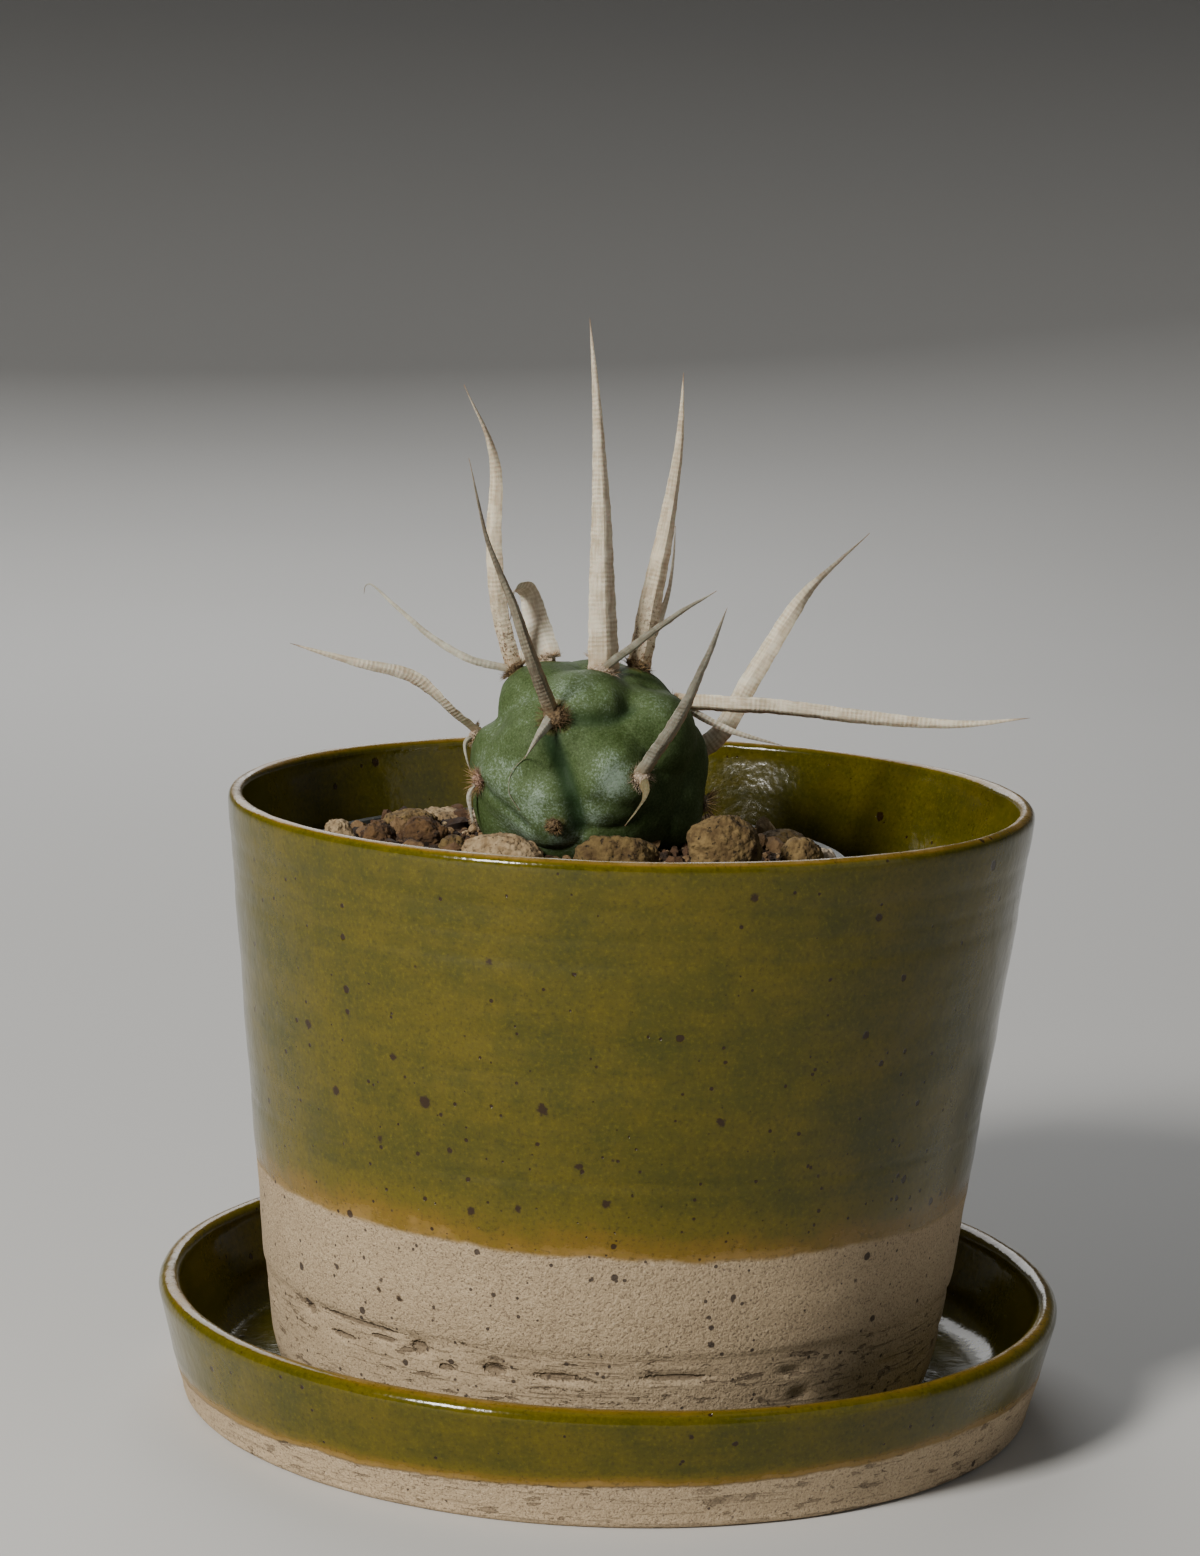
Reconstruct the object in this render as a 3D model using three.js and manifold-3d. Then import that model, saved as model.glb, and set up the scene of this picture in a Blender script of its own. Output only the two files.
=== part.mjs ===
// A paper spine cactus in a thin clear nursery pot, inside a glazed stoneware pot on its own saucer.
// Millimetres, +Z up. The origin is the middle of the saucer's underside, and the front faces -Y.

import * as THREE from "three";
import { mergeVertices } from "three/addons/utils/BufferGeometryUtils.js";
import Module from "manifold-3d";

const wasm = await Module();
wasm.setup();

// Space left between pieces that touch.
const CLEARANCE = 0.3;

// Flat sides round each turned piece.
const SIDES = 48;

// Saucer, heights above its underside.
const SAUCER_FOOT_RADIUS = 61.5;
const SAUCER_FOOT_BEVEL = 0.8;
const SAUCER_BAND_RADIUS = 63.2;
const SAUCER_BAND_HEIGHT = 7;
const SAUCER_RIM_RADIUS = 65.2;
const SAUCER_HEIGHT = 17.2;
const SAUCER_WALL = 3.2;
const SAUCER_FLOOR = 3.0;
const SAUCER_WELL_RADIUS = 59.3;
const SAUCER_FILLET = 5;

// Stoneware pot, heights above its own foot.
const POT_HEIGHT = 84.9;
const POT_RIM_RADIUS = 57.5;
const POT_TAPER = 0.111;
const POT_FOOT_TUCK = 1.95;
const POT_FOOT_TUCK_HEIGHT = 4;
const POT_LIP = 2.4;
const POT_WALL = 4.2;
const POT_FLOOR = 5;
const POT_FILLET = 6;
const POT_DRAIN_RADIUS = 7;
const POT_FOOT_SHIFT = -0.5;
const POT_LEAN = 1.2;
const POT_RIM_TILT = new THREE.Vector2(0.0092, -0.0063);

// Nursery pot, heights above its own base.
const NURSERY_CENTRE = new THREE.Vector2(-7, 4);
const NURSERY_BASE_RADIUS = 29.5;
const NURSERY_TOP_RADIUS = 38.6;
const NURSERY_RIM_RADIUS = 39.7;
const NURSERY_RIM_DEPTH = 2;
const NURSERY_HEIGHT = 70;
const NURSERY_WALL = 0.8;
const NURSERY_HOLE_RADIUS = 3;
const NURSERY_HOLE_CIRCLE = 18;
const NURSERY_HOLES = 6;

// Soil, and the grit that is bedded in its top.
const SOIL_EDGE = 77;
const SOIL_MOUND = 3;
const SOIL_ROUGHNESS = 0.45;
const GRIT_COUNT = 26;
const GRIT_REACH = 33.5;
const GRIT_RADIUS = 1.1;

// Cactus segment: a blunt globe, raised into tubercles. Each dent is a deep notch in its outline, by its
// bearing and height on the globe and its spread, in degrees, and its depth.
const BODY_CENTRE = new THREE.Vector3(-5.5, 2, 90.5);
const BODY_RADIUS = new THREE.Vector3(15.5, 15.2, 14.8);
const BODY_BLUNTNESS = 2.4;
const BODY_DENTS = [[-90, 30, 8, 1.7], [72, 54, 10, 0.9]];
const TUBERCLE_RISE = 1.7;
const TUBERCLE_SPREAD = 23;
const TUBERCLE_BELOW_AREOLE = 9;
const CREASE_SHARPNESS = 3;
const CREASE_DEPTH = 0.4;

// Areoles: how flat the woolly cushion is, how far the spines' roots stand up in it, and its bristles.
const CUSHION_FLATNESS = 0.62;
const ROOT_DEPTH = 0.1;
const BRISTLE_RADIUS = 0.42;
const SPINE_TIP = 0.7;
const SPINE_NARROWING = 2.2;
const PAPER_COLOUR = "#cfc6b4";
const TUFT_COLOUR = "#8d5a3c";

// Each areole by its bearing from the front, turning to the right, and its height on the globe, both in
// degrees, with the radius of its cushion and the number of its bristles. Its tubercle bulges below it,
// or at the bearing and height that bulge gives, with the rise that its third value gives in place of 1.
// A spine is a flat blade that leaves its areole and passes through the points listed, with its width
// and thickness at the root, the turn of its flat side from facing the front, and its twist to the tip.
// It keeps its width for half its length, unless it has a narrowing near 1, which tapers it all the way.
const AREOLES = {
  front_left: {
    at: [-22, 35],
    bulge: [-37, 22],
    cushion: 2.6,
    bristles: 8,
    spines: [
      { via: [[-14, -16.4, 109.4], [-16.7, -19, 117.2], [-20.1, -22, 125.6], [-22.9, -25, 136.9]],
        width: 2.7, thick: 1.3, turn: 10, twist: 20, narrowing: 1.2 },
      { via: [[-12.6, -15.4, 97.6], [-14.3, -17.2, 94.9]], width: 1.8, thick: 0.8, turn: -20, twist: 0 },
    ],
  },
  front_right: {
    at: [27, 6],
    bulge: [13, 4],
    cushion: 2.1,
    bristles: 6,
    spines: [
      { via: [[7, -19, 101.7], [9.7, -22, 108.6], [12.7, -25, 117.9]],
        width: 2.9, thick: 1, turn: 20, twist: 15 },
      { via: [[3.1, -17.4, 90.9], [1.5, -18.9, 88.5], [-0.1, -19.3, 86.4]],
        width: 1.7, thick: 0.8, turn: 0, twist: 20 },
    ],
  },
  left_high: {
    at: [-90, 16],
    bulge: [-84, 5],
    cushion: 1.9,
    bristles: 5,
    spines: [
      { via: [[-26.9, -3, 100.2], [-30.7, -5, 103.9], [-39.4, -8, 106.4], [-47.8, -10, 108.9]],
        width: 2.1, thick: 0.8, turn: 25, twist: 40 },
      { via: [[-23.2, 0.2, 94.2], [-22.9, -1.2, 92.2], [-22.4, -2, 90.6]],
        width: 1.1, thick: 0.8, turn: 0, twist: 0 },
    ],
  },
  left_mid: {
    at: [-67, -3],
    bulge: [-54, -1],
    cushion: 1.9,
    bristles: 7,
    spines: [
      { via: [[-22.3, -4.6, 87.4], [-22, -4.2, 84.9], [-21.6, -4, 83.2]],
        width: 1.4, thick: 0.8, turn: 0, twist: 0 },
    ],
  },
  left_low: { at: [-83, -24], bulge: [-80, -26], cushion: 1.6, bristles: 5, spines: [] },
  front_low: { at: [-16, -19], bulge: [-25, -12], cushion: 1.9, bristles: 7, spines: [] },
  crown_front: {
    at: [22, 74],
    bulge: [-7, 56],
    cushion: 2.4,
    bristles: 4,
    spines: [
      { via: [[-4.6, -1.8, 118.4], [-5.1, -1.6, 129.7], [-6.1, -1.2, 142.4], [-7.6, -1, 155.3]],
        width: 4.4, thick: 1, turn: 0, twist: 8, narrowing: 1.2 },
      { via: [[1.1, -7, 110.3], [6.5, -11, 115.2], [11.4, -15, 119]],
        width: 2, thick: 0.9, turn: 30, twist: 0 },
    ],
  },
  crown_right: {
    at: [106, 66],
    bulge: [98, 62, 0.5],
    cushion: 2.4,
    bristles: 7,
    spines: [
      { via: [[2.3, 4.5, 115.1], [4.1, 5, 125.1], [5.6, 5.5, 136.6], [5.9, 6, 147.6]],
        width: 3.6, thick: 1, turn: -15, twist: 20 },
      { via: [[4.4, 8, 112.9], [5.5, 10, 118.8], [5.6, 12, 125.1]],
        width: 2, thick: 0.8, turn: 30, twist: 20 },
    ],
  },
  crown_left: {
    at: [-98, 51],
    bulge: [-85, 54, 1.1],
    cushion: 2.3,
    bristles: 5,
    spines: [
      { via: [[-19, 2, 113.2], [-20.1, 1, 123.2], [-20.4, 1.5, 135], [-25.1, 3, 144.9]],
        width: 2.8, thick: 0.9, turn: 15, twist: 70 },
      { via: [[-23.1, 3, 105.8], [-29, 6, 108.5], [-34.3, 8, 112.5], [-38.1, 9, 115.4]],
        width: 1.1, thick: 0.8, turn: 0, twist: 0 },
    ],
  },
  crown_back_left: {
    at: [-125, 62],
    cushion: 2.1,
    bristles: 5,
    spines: [
      { via: [[-14.2, 9.5, 111.4], [-15.4, 9, 115.2], [-17.1, 6.2, 115.6], [-17.5, 4.4, 111.6]],
        width: 3.8, thick: 0.8, turn: -10, twist: 10 },
    ],
  },
  right_high: {
    at: [96, 40],
    bulge: [60, 33, 1.15],
    cushion: 2.2,
    bristles: 5,
    spines: [
      {
        via: [
          [15.6, -1.5, 101.1], [20.7, -2, 101.1], [31.9, -3.5, 100.5], [46.6, -5, 100.2], [56.4, -6, 101.6],
        ],
        width: 2.5,
        thick: 0.9,
        turn: 35,
        twist: -25,
      },
      { via: [[14, 3.4, 97], [22.3, 6, 94.5]], width: 1, thick: 0.8, turn: 0, twist: 0 },
    ],
  },
  right_low: { at: [86, -13], cushion: 1.6, bristles: 7, spines: [] },
  back_crown: {
    at: [172, 66],
    cushion: 2.2,
    bristles: 5,
    spines: [
      { via: [[-4.6, 13, 107.2], [-4.5, 22, 105.2], [-4, 32, 100.4]],
        width: 2.8, thick: 0.9, turn: 0, twist: 25 },
    ],
  },
  back_right: {
    at: [146, 34],
    cushion: 2.2,
    bristles: 6,
    spines: [
      { via: [[6.5, 22, 99.8], [8.6, 31, 100.8], [9.4, 40, 98.6]],
        width: 3, thick: 0.9, turn: 60, twist: 30 },
      { via: [[5.4, 22.6, 93.6], [6.6, 26, 91]], width: 1.3, thick: 0.8, turn: 0, twist: 0 },
    ],
  },
  back_left: {
    at: [-152, 32],
    cushion: 2.3,
    bristles: 6,
    spines: [
      { via: [[-14.5, 22, 101.2], [-16.8, 31, 102.8], [-18, 41, 100.2]],
        width: 2.9, thick: 0.9, turn: -60, twist: 30 },
      { via: [[-17, 20.4, 96], [-18.6, 24, 93]], width: 1.5, thick: 0.8, turn: -20, twist: 20 },
    ],
  },
  side_right: {
    at: [124, 2],
    bulge: [98, 6],
    cushion: 1.9,
    bristles: 7,
    spines: [
      { via: [[12.8, 9.8, 94.8], [17.5, 10.5, 103.4], [24.9, 13, 115.5], [33.9, 16, 124.7]],
        width: 2.9, thick: 0.9, turn: 25, twist: -70 },
    ],
  },
  back_mid: {
    at: [176, 2],
    cushion: 2,
    bristles: 6,
    spines: [
      { via: [[-4.6, 23.6, 96], [-3, 30, 100], [-1.6, 37, 101.6]],
        width: 2.6, thick: 0.9, turn: 0, twist: 25 },
    ],
  },
  side_left: { at: [-122, 2], cushion: 1.9, bristles: 7, spines: [] },
  back_low_right: { at: [150, -26], cushion: 1.6, bristles: 5, spines: [] },
  back_low_left: { at: [-150, -25], cushion: 1.6, bristles: 5, spines: [] },
};

// Stones: how deep they are bedded, and the chance planes that clip them.
const STONE_BED = 0.9;
const STONE_PLANES = 7;
const STONE_ROUNDNESS = 1.04;

// The stones in front and at the sides: middle, half width and half depth, top, turn about the upright,
// and colour.
const STONES = {
  pale_left: { at: [-40.6, -2], half: [2.7, 2.4], top: 83.3, turn: 20, colour: "#b9a184" },
  crumb_left: { at: [-35.2, 0.6], half: [3, 2.6], top: 82.6, turn: 70, colour: "#7a5a3c" },
  lava_left: { at: [-28.6, -0.6], half: [3.3, 2.8], top: 83.6, turn: 10, colour: "#6b4a35" },
  lava_mid_left: { at: [-24.4, -5.6], half: [2.2, 2.4], top: 82.2, turn: 40, colour: "#5f4331" },
  flat_pale: { at: [-16.8, -19.6], half: [6, 3.6], top: 85, turn: -6, colour: "#b79a78" },
  flat_brown: { at: [-0.8, -19.8], half: [6.4, 3.9], top: 85.9, turn: 4, colour: "#8a6d4c" },
  round_right: { at: [13.7, -15.6], half: [5.8, 5.2], top: 87.9, turn: 30, colour: "#96795a" },
  small_right: { at: [24.8, -9], half: [3.2, 2.8], top: 84, turn: 15, colour: "#9a7f63" },
  pale_right: { at: [28.4, -3.6], half: [1.7, 1.9], top: 81.9, turn: 60, colour: "#c3b096" },
};

// Lower stones of the same kinds that go on round the sides and the back, between these bearings.
const RING_STONES = 8;
const RING_FROM = 20;
const RING_TO = 172;
const RING_RADIUS = 25;
const RING_STONE_SIZE = 2.6;
const RING_COLOURS = ["#8a6d4c", "#6b4a35", "#b79a78", "#96795a"];

// A repeatable row of numbers from 0 to 1.
function numbers(seed) {
  let state = seed;
  return () => {
    state = (Math.imul(state, 1664525) + 1013904223) >>> 0;
    return state / 4294967296;
  };
}

// Closed solids from three.js geometry, and back.
function solid(geometry) {
  const bare = geometry.clone();
  bare.deleteAttribute("normal");
  bare.deleteAttribute("uv");
  const merged = mergeVertices(bare, 1e-4);
  return new wasm.Manifold(
    new wasm.Mesh({
      numProp: 3,
      vertProperties: merged.attributes.position.array,
      triVerts: new Uint32Array(merged.index.array),
    }),
  );
}

function geometryOf(made) {
  const mesh = made.getMesh();
  const geometry = new THREE.BufferGeometry();
  geometry.setAttribute("position", new THREE.BufferAttribute(mesh.vertProperties, 3));
  geometry.setIndex(new THREE.BufferAttribute(mesh.triVerts, 1));
  geometry.computeVertexNormals();
  return geometry;
}

function largestPiece(made) {
  const pieces = made.decompose();
  return pieces.reduce((best, piece) => (piece.volume() > best.volume() ? piece : best));
}

// A turned shape about the upright through the origin, its profile given as [radius, height].
function turned(profile) {
  const points = profile.map(([radius, height]) => new THREE.Vector2(radius, height));
  return new THREE.LatheGeometry(points, SIDES).rotateX(Math.PI / 2);
}

// Moves every vertex of a geometry by a rule.
function reshape(geometry, rule) {
  const position = geometry.attributes.position;
  const point = new THREE.Vector3();
  for (let i = 0; i < position.count; i += 1) {
    point.fromBufferAttribute(position, i);
    rule(point);
    position.setXYZ(i, point.x, point.y, point.z);
  }
  return geometry;
}

// Points on a quarter or half turn in a profile, angles in degrees from the outward direction.
function arc(radius, height, size, from, to, steps) {
  return Array.from({ length: steps + 1 }, (_, i) => {
    const angle = THREE.MathUtils.degToRad(from + ((to - from) * i) / steps);
    return [radius + size * Math.cos(angle), height + size * Math.sin(angle)];
  });
}

function saucer() {
  const lip = SAUCER_WALL / 2;
  const fillet = SAUCER_FILLET;
  return turned([
    [0, 0],
    [SAUCER_FOOT_RADIUS - SAUCER_FOOT_BEVEL, 0],
    [SAUCER_FOOT_RADIUS, SAUCER_FOOT_BEVEL],
    [SAUCER_BAND_RADIUS, SAUCER_BAND_HEIGHT],
    ...arc(SAUCER_RIM_RADIUS - lip, SAUCER_HEIGHT - lip, lip, 0, 180, 3),
    ...arc(SAUCER_WELL_RADIUS - fillet, SAUCER_FLOOR + fillet, fillet, 0, -90, 3),
    [0, SAUCER_FLOOR],
  ]);
}

// The pot's outside: a straight taper, tucked in at the foot.
function potRadius(height) {
  const rim = POT_HEIGHT - POT_LIP / 2;
  const straight = POT_RIM_RADIUS - POT_TAPER * (rim - height);
  return straight - POT_FOOT_TUCK * Math.exp(-height / POT_FOOT_TUCK_HEIGHT);
}

function stonewarePot() {
  const lip = POT_LIP / 2;
  const shoulder = POT_HEIGHT - lip;
  const fillet = POT_FILLET;
  const outside = [0, 2, 5, 10, 46].map((height) => [potRadius(height), height]);
  const inside = [70, 44].map((height) => [potRadius(height) - POT_WALL, height]);
  const floorEdge = potRadius(POT_FLOOR + fillet) - POT_WALL - fillet;
  const pot = turned([
    [POT_DRAIN_RADIUS, 0],
    ...outside,
    ...arc(POT_RIM_RADIUS - lip, shoulder, lip, 0, 180, 3),
    ...inside,
    ...arc(floorEdge, POT_FLOOR + fillet, fillet, 0, -90, 2),
    [POT_DRAIN_RADIUS, POT_FLOOR],
    [POT_DRAIN_RADIUS, 0],
  ]);
  return reshape(pot, (point) => {
    const up = Math.max(point.z - POT_FLOOR, 0) / (POT_HEIGHT - POT_FLOOR);
    point.z += up * (POT_RIM_TILT.x * point.x + POT_RIM_TILT.y * point.y);
    point.x += POT_FOOT_SHIFT + POT_LEAN * up;
  });
}

function nurseryPot() {
  const under = NURSERY_HEIGHT - NURSERY_RIM_DEPTH;
  let pot = solid(
    turned([
      [0, 0],
      [NURSERY_BASE_RADIUS, 0],
      [NURSERY_TOP_RADIUS, under],
      [NURSERY_RIM_RADIUS, under],
      [NURSERY_RIM_RADIUS, NURSERY_HEIGHT],
      [NURSERY_TOP_RADIUS - NURSERY_WALL, NURSERY_HEIGHT],
      [NURSERY_BASE_RADIUS - NURSERY_WALL, NURSERY_WALL],
      [0, NURSERY_WALL],
    ]),
  );
  for (let i = 0; i < NURSERY_HOLES; i += 1) {
    const angle = (i * 2 * Math.PI) / NURSERY_HOLES;
    const hole = new THREE.CylinderGeometry(NURSERY_HOLE_RADIUS, NURSERY_HOLE_RADIUS, 4 * NURSERY_WALL, 8);
    hole.rotateX(Math.PI / 2);
    hole.translate(NURSERY_HOLE_CIRCLE * Math.cos(angle), NURSERY_HOLE_CIRCLE * Math.sin(angle), 0);
    pot = pot.subtract(solid(hole));
  }
  return geometryOf(pot);
}

// The nursery pot's inside radius, at a height above its base.
function nurseryInside(height) {
  const up = height / (NURSERY_HEIGHT - NURSERY_RIM_DEPTH);
  return THREE.MathUtils.lerp(NURSERY_BASE_RADIUS, NURSERY_TOP_RADIUS, up) - NURSERY_WALL;
}

const NURSERY_BASE_HEIGHT = SAUCER_FLOOR + POT_FLOOR;

// The soil's top, as a height above the origin at a place measured from the nursery pot's middle.
function soilTop(x, y) {
  const out = Math.hypot(x, y) / NURSERY_TOP_RADIUS;
  const lumps = Math.sin(0.62 * x + 1) * Math.cos(0.53 * y) + Math.sin(0.31 * x - 0.41 * y);
  return SOIL_EDGE + SOIL_MOUND * (1 - out * out) + SOIL_ROUGHNESS * lumps;
}

function soilMass() {
  const base = NURSERY_BASE_HEIGHT;
  const top = nurseryInside(SOIL_EDGE - base) - CLEARANCE;
  const rings = [0.88, 0.72, 0.56, 0.38, 0].map((part) => [top * part, SOIL_EDGE]);
  const mass = turned([
    [0, base + NURSERY_WALL],
    [nurseryInside(NURSERY_WALL) - 2 * CLEARANCE, base + NURSERY_WALL],
    [top, SOIL_EDGE],
    ...rings,
  ]);
  return reshape(mass, (point) => {
    const onTop = point.z > SOIL_EDGE - 1 && Math.hypot(point.x, point.y) < 0.95 * top;
    point.z = onTop ? soilTop(point.x, point.y) : point.z;
    point.x += NURSERY_CENTRE.x;
    point.y += NURSERY_CENTRE.y;
  });
}

// A direction from the middle of the globe, by bearing from the front and elevation in degrees.
function direction(bearing, elevation) {
  const turn = THREE.MathUtils.degToRad(bearing);
  const rise = THREE.MathUtils.degToRad(elevation);
  return new THREE.Vector3(
    Math.sin(turn) * Math.cos(rise),
    -Math.cos(turn) * Math.cos(rise),
    Math.sin(rise),
  );
}

const tubercles = Object.values(AREOLES).map(({ at, bulge }) => {
  const [bearing, elevation, rise] = bulge ?? [at[0], at[1] - TUBERCLE_BELOW_AREOLE];
  return { middle: direction(bearing, elevation), rise: rise ?? 1 };
});

// The globe's radius along a direction: a blunt ellipsoid, raised where tubercles are and creased
// where they meet, less its dents.
function bodyRadius(along) {
  const level = Math.hypot(along.x / BODY_RADIUS.x, along.y / BODY_RADIUS.y);
  const upright = Math.abs(along.z) / BODY_RADIUS.z;
  const blunt = (level ** BODY_BLUNTNESS + upright ** BODY_BLUNTNESS) ** (-1 / BODY_BLUNTNESS);
  const raised = tubercles.reduce((sum, { middle, rise }) => {
    const apart = THREE.MathUtils.radToDeg(along.angleTo(middle)) / TUBERCLE_SPREAD;
    return sum + Math.exp(CREASE_SHARPNESS * (rise - apart * apart));
  }, 0);
  const dented = BODY_DENTS.reduce((sum, [bearing, elevation, spread, depth]) => {
    const apart = THREE.MathUtils.radToDeg(along.angleTo(direction(bearing, elevation))) / spread;
    return sum + depth * Math.exp(-apart * apart);
  }, 0);
  return blunt + TUBERCLE_RISE * Math.max(Math.log(raised) / CREASE_SHARPNESS, -CREASE_DEPTH) - dented;
}

// The globe, grown all over by a clearance, with its faces counted around and down.
function cactusGlobe(grown, around, down) {
  const globe = new THREE.SphereGeometry(1, around, down).rotateX(Math.PI / 2);
  return reshape(globe, (point) => {
    const along = point.clone().normalize();
    point.copy(along).multiplyScalar(bodyRadius(along) + grown).add(BODY_CENTRE);
  });
}

// Where an areole sits on the globe, and its outward direction.
function seatOf({ at: [bearing, elevation] }) {
  const out = direction(bearing, elevation);
  const seat = out.clone().multiplyScalar(bodyRadius(out)).add(BODY_CENTRE);
  return { seat, out };
}

// The woolly cushion of an areole: a flattened ball, sunk in its pit.
function cushion(areole, grown) {
  const { seat, out } = seatOf(areole);
  const size = areole.cushion + grown;
  const ball = new THREE.SphereGeometry(1, 8, 4).rotateX(Math.PI / 2);
  ball.scale(size, size, CUSHION_FLATNESS * areole.cushion + grown);
  ball.applyQuaternion(new THREE.Quaternion().setFromUnitVectors(new THREE.Vector3(0, 0, 1), out));
  return ball.translate(seat.x, seat.y, seat.z);
}

// Short stiff bristles that fan out of the cushion, each a slim three-sided point.
function bristles(areole, seed) {
  const random = numbers(seed);
  const { seat, out } = seatOf(areole);
  const toOut = new THREE.Quaternion().setFromUnitVectors(new THREE.Vector3(0, 1, 0), out);
  return Array.from({ length: areole.bristles }, (_, i) => {
    const length = areole.cushion * (1.15 + 0.5 * random());
    const lean = THREE.MathUtils.degToRad(20 + 32 * random());
    const around = ((i + 0.6 * random()) * 2 * Math.PI) / areole.bristles;
    const bristle = new THREE.ConeGeometry(BRISTLE_RADIUS, length, 3);
    bristle.translate(0, length / 2, 0);
    bristle.rotateZ(lean);
    bristle.rotateY(around);
    bristle.translate(0, ROOT_DEPTH * areole.cushion, 0);
    bristle.applyQuaternion(toOut);
    return bristle.translate(seat.x, seat.y, seat.z);
  });
}

// A papery spine: a flat blade on a curve, narrowing to its tip.
function spine(areole, { via, width, thick, turn, twist, narrowing = SPINE_NARROWING }, grown) {
  const { seat, out } = seatOf(areole);
  const root = seat.clone().addScaledVector(out, ROOT_DEPTH * areole.cushion);
  const points = [root, ...via.map((place) => new THREE.Vector3(...place))];
  const curve = new THREE.CatmullRomCurve3(points, false, "centripetal");
  const steps = 2 + 2 * via.length;
  const blade = new THREE.CylinderGeometry(1, 1, 1, 4, steps, false, Math.PI / 4);
  const facing = new THREE.Vector3(0, -1, 0);
  return reshape(blade, (point) => {
    const along = THREE.MathUtils.clamp(point.y + 0.5, 0, 1);
    const tangent = curve.getTangentAt(along);
    const angle = THREE.MathUtils.degToRad(turn + twist * along);
    const side = new THREE.Vector3().crossVectors(tangent, facing).normalize();
    side.applyAxisAngle(tangent, angle);
    const normal = new THREE.Vector3().crossVectors(side, tangent);
    const wide = Math.max(width * (1 - along ** narrowing), SPINE_TIP) / Math.SQRT2 + grown;
    const deep = THREE.MathUtils.lerp(thick, SPINE_TIP, along) / Math.SQRT2 + grown;
    const centre = curve.getPointAt(along);
    centre.addScaledVector(side, point.x * wide).addScaledVector(normal, point.z * deep);
    point.copy(centre);
  });
}

// A stone: a ball clipped by a few chance planes, then squeezed to its sizes and set in its bed.
function stone({ at: [x, y], half, top, turn }, seed, grown) {
  const bed = soilTop(x - NURSERY_CENTRE.x, y - NURSERY_CENTRE.y) - STONE_BED;
  const random = numbers(seed);
  const planes = Array.from({ length: STONE_PLANES }, () => {
    const away = direction(360 * random(), 180 * random() - 90);
    return { away, reach: 0.72 + 0.2 * random() };
  });
  const rough = new THREE.IcosahedronGeometry(1, 1);
  reshape(rough, (point) => {
    const along = point.clone().normalize();
    const reach = planes.reduce((least, plane) => {
      const facing = along.dot(plane.away);
      return facing > 0.1 ? Math.min(least, plane.reach / facing) : least;
    }, STONE_ROUNDNESS);
    point.copy(along).multiplyScalar(reach);
  });
  rough.scale(half[0] + grown, half[1] + grown, (top - bed) / 2 + grown);
  return rough.rotateZ(THREE.MathUtils.degToRad(turn)).translate(x, y, (top + bed) / 2);
}

// The stones behind and beside the cactus, laid at chance on a ring round it.
function ringStones() {
  const random = numbers(41);
  return Array.from({ length: RING_STONES }, (_, i) => {
    const bearing = RING_FROM + ((RING_TO - RING_FROM) * (i + 0.35 * random())) / RING_STONES;
    const angle = THREE.MathUtils.degToRad(bearing);
    const out = RING_RADIUS + 5 * random();
    const size = RING_STONE_SIZE + 2.2 * random();
    const x = BODY_CENTRE.x + out * Math.cos(angle);
    const y = BODY_CENTRE.y + out * Math.sin(angle);
    const top = soilTop(x - NURSERY_CENTRE.x, y - NURSERY_CENTRE.y) + 0.75 * size;
    const half = [size * (0.9 + 0.4 * random()), size * (0.8 + 0.3 * random())];
    const colour = RING_COLOURS[i % RING_COLOURS.length];
    return { at: [x, y], half, top, turn: 180 * random(), colour };
  });
}

// Coarse grains, strewn evenly over the soil and half sunk in it.
function gritGrains() {
  const random = numbers(7);
  return Array.from({ length: GRIT_COUNT }, () => {
    const out = GRIT_REACH * Math.sqrt(random());
    const angle = 2 * Math.PI * random();
    const x = out * Math.cos(angle);
    const y = out * Math.sin(angle);
    const grain = new THREE.IcosahedronGeometry(GRIT_RADIUS * (1 + random()), 0);
    grain.scale(1, 0.7 + 0.3 * random(), 0.7);
    grain.rotateZ(Math.PI * random());
    return grain.translate(x + NURSERY_CENTRE.x, y + NURSERY_CENTRE.y, soilTop(x, y) + 0.2);
  });
}

const plant = new THREE.Group();

function add(name, geometry, colour, roughness) {
  const material = new THREE.MeshStandardMaterial({ color: colour, roughness, metalness: 0 });
  const mesh = new THREE.Mesh(geometry, material);
  mesh.name = name;
  plant.add(mesh);
  return mesh;
}

add("saucer", saucer(), "#7d7a1e", 0.25);
add("stoneware_pot", stonewarePot(), "#7d7a1e", 0.25).position.z = SAUCER_FLOOR;
const nursery = add("nursery_pot", nurseryPot(), "#c9cfd2", 0.3);
nursery.position.set(NURSERY_CENTRE.x, NURSERY_CENTRE.y, NURSERY_BASE_HEIGHT);

// Cactus segment, with a pit for each areole and room for the roots of its spines.
let globe = solid(cactusGlobe(0, 38, 22));
Object.entries(AREOLES).forEach(([name, areole], index) => {
  let tuft = solid(cushion(areole, 0));
  globe = globe.subtract(solid(cushion(areole, CLEARANCE)));
  bristles(areole, 100 + index).forEach((bristle) => {
    tuft = tuft.add(solid(bristle));
  });
  areole.spines.forEach((blade) => {
    tuft = tuft.add(solid(spine(areole, blade, 0)));
    globe = globe.subtract(solid(spine(areole, blade, CLEARANCE)));
  });
  const colour = areole.spines.length > 0 ? PAPER_COLOUR : TUFT_COLOUR;
  add(`areole_${name}`, geometryOf(largestPiece(tuft)), colour, 0.8);
});
add("cactus_body", geometryOf(largestPiece(globe)), "#66805f", 0.6);

// Soil with its grit, hollowed where the cactus and the stones sit in it.
let soil = solid(soilMass());
gritGrains().forEach((grain) => {
  soil = soil.add(solid(grain));
});
soil = soil.subtract(solid(cactusGlobe(2.5 * CLEARANCE, 24, 14)));

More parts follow.
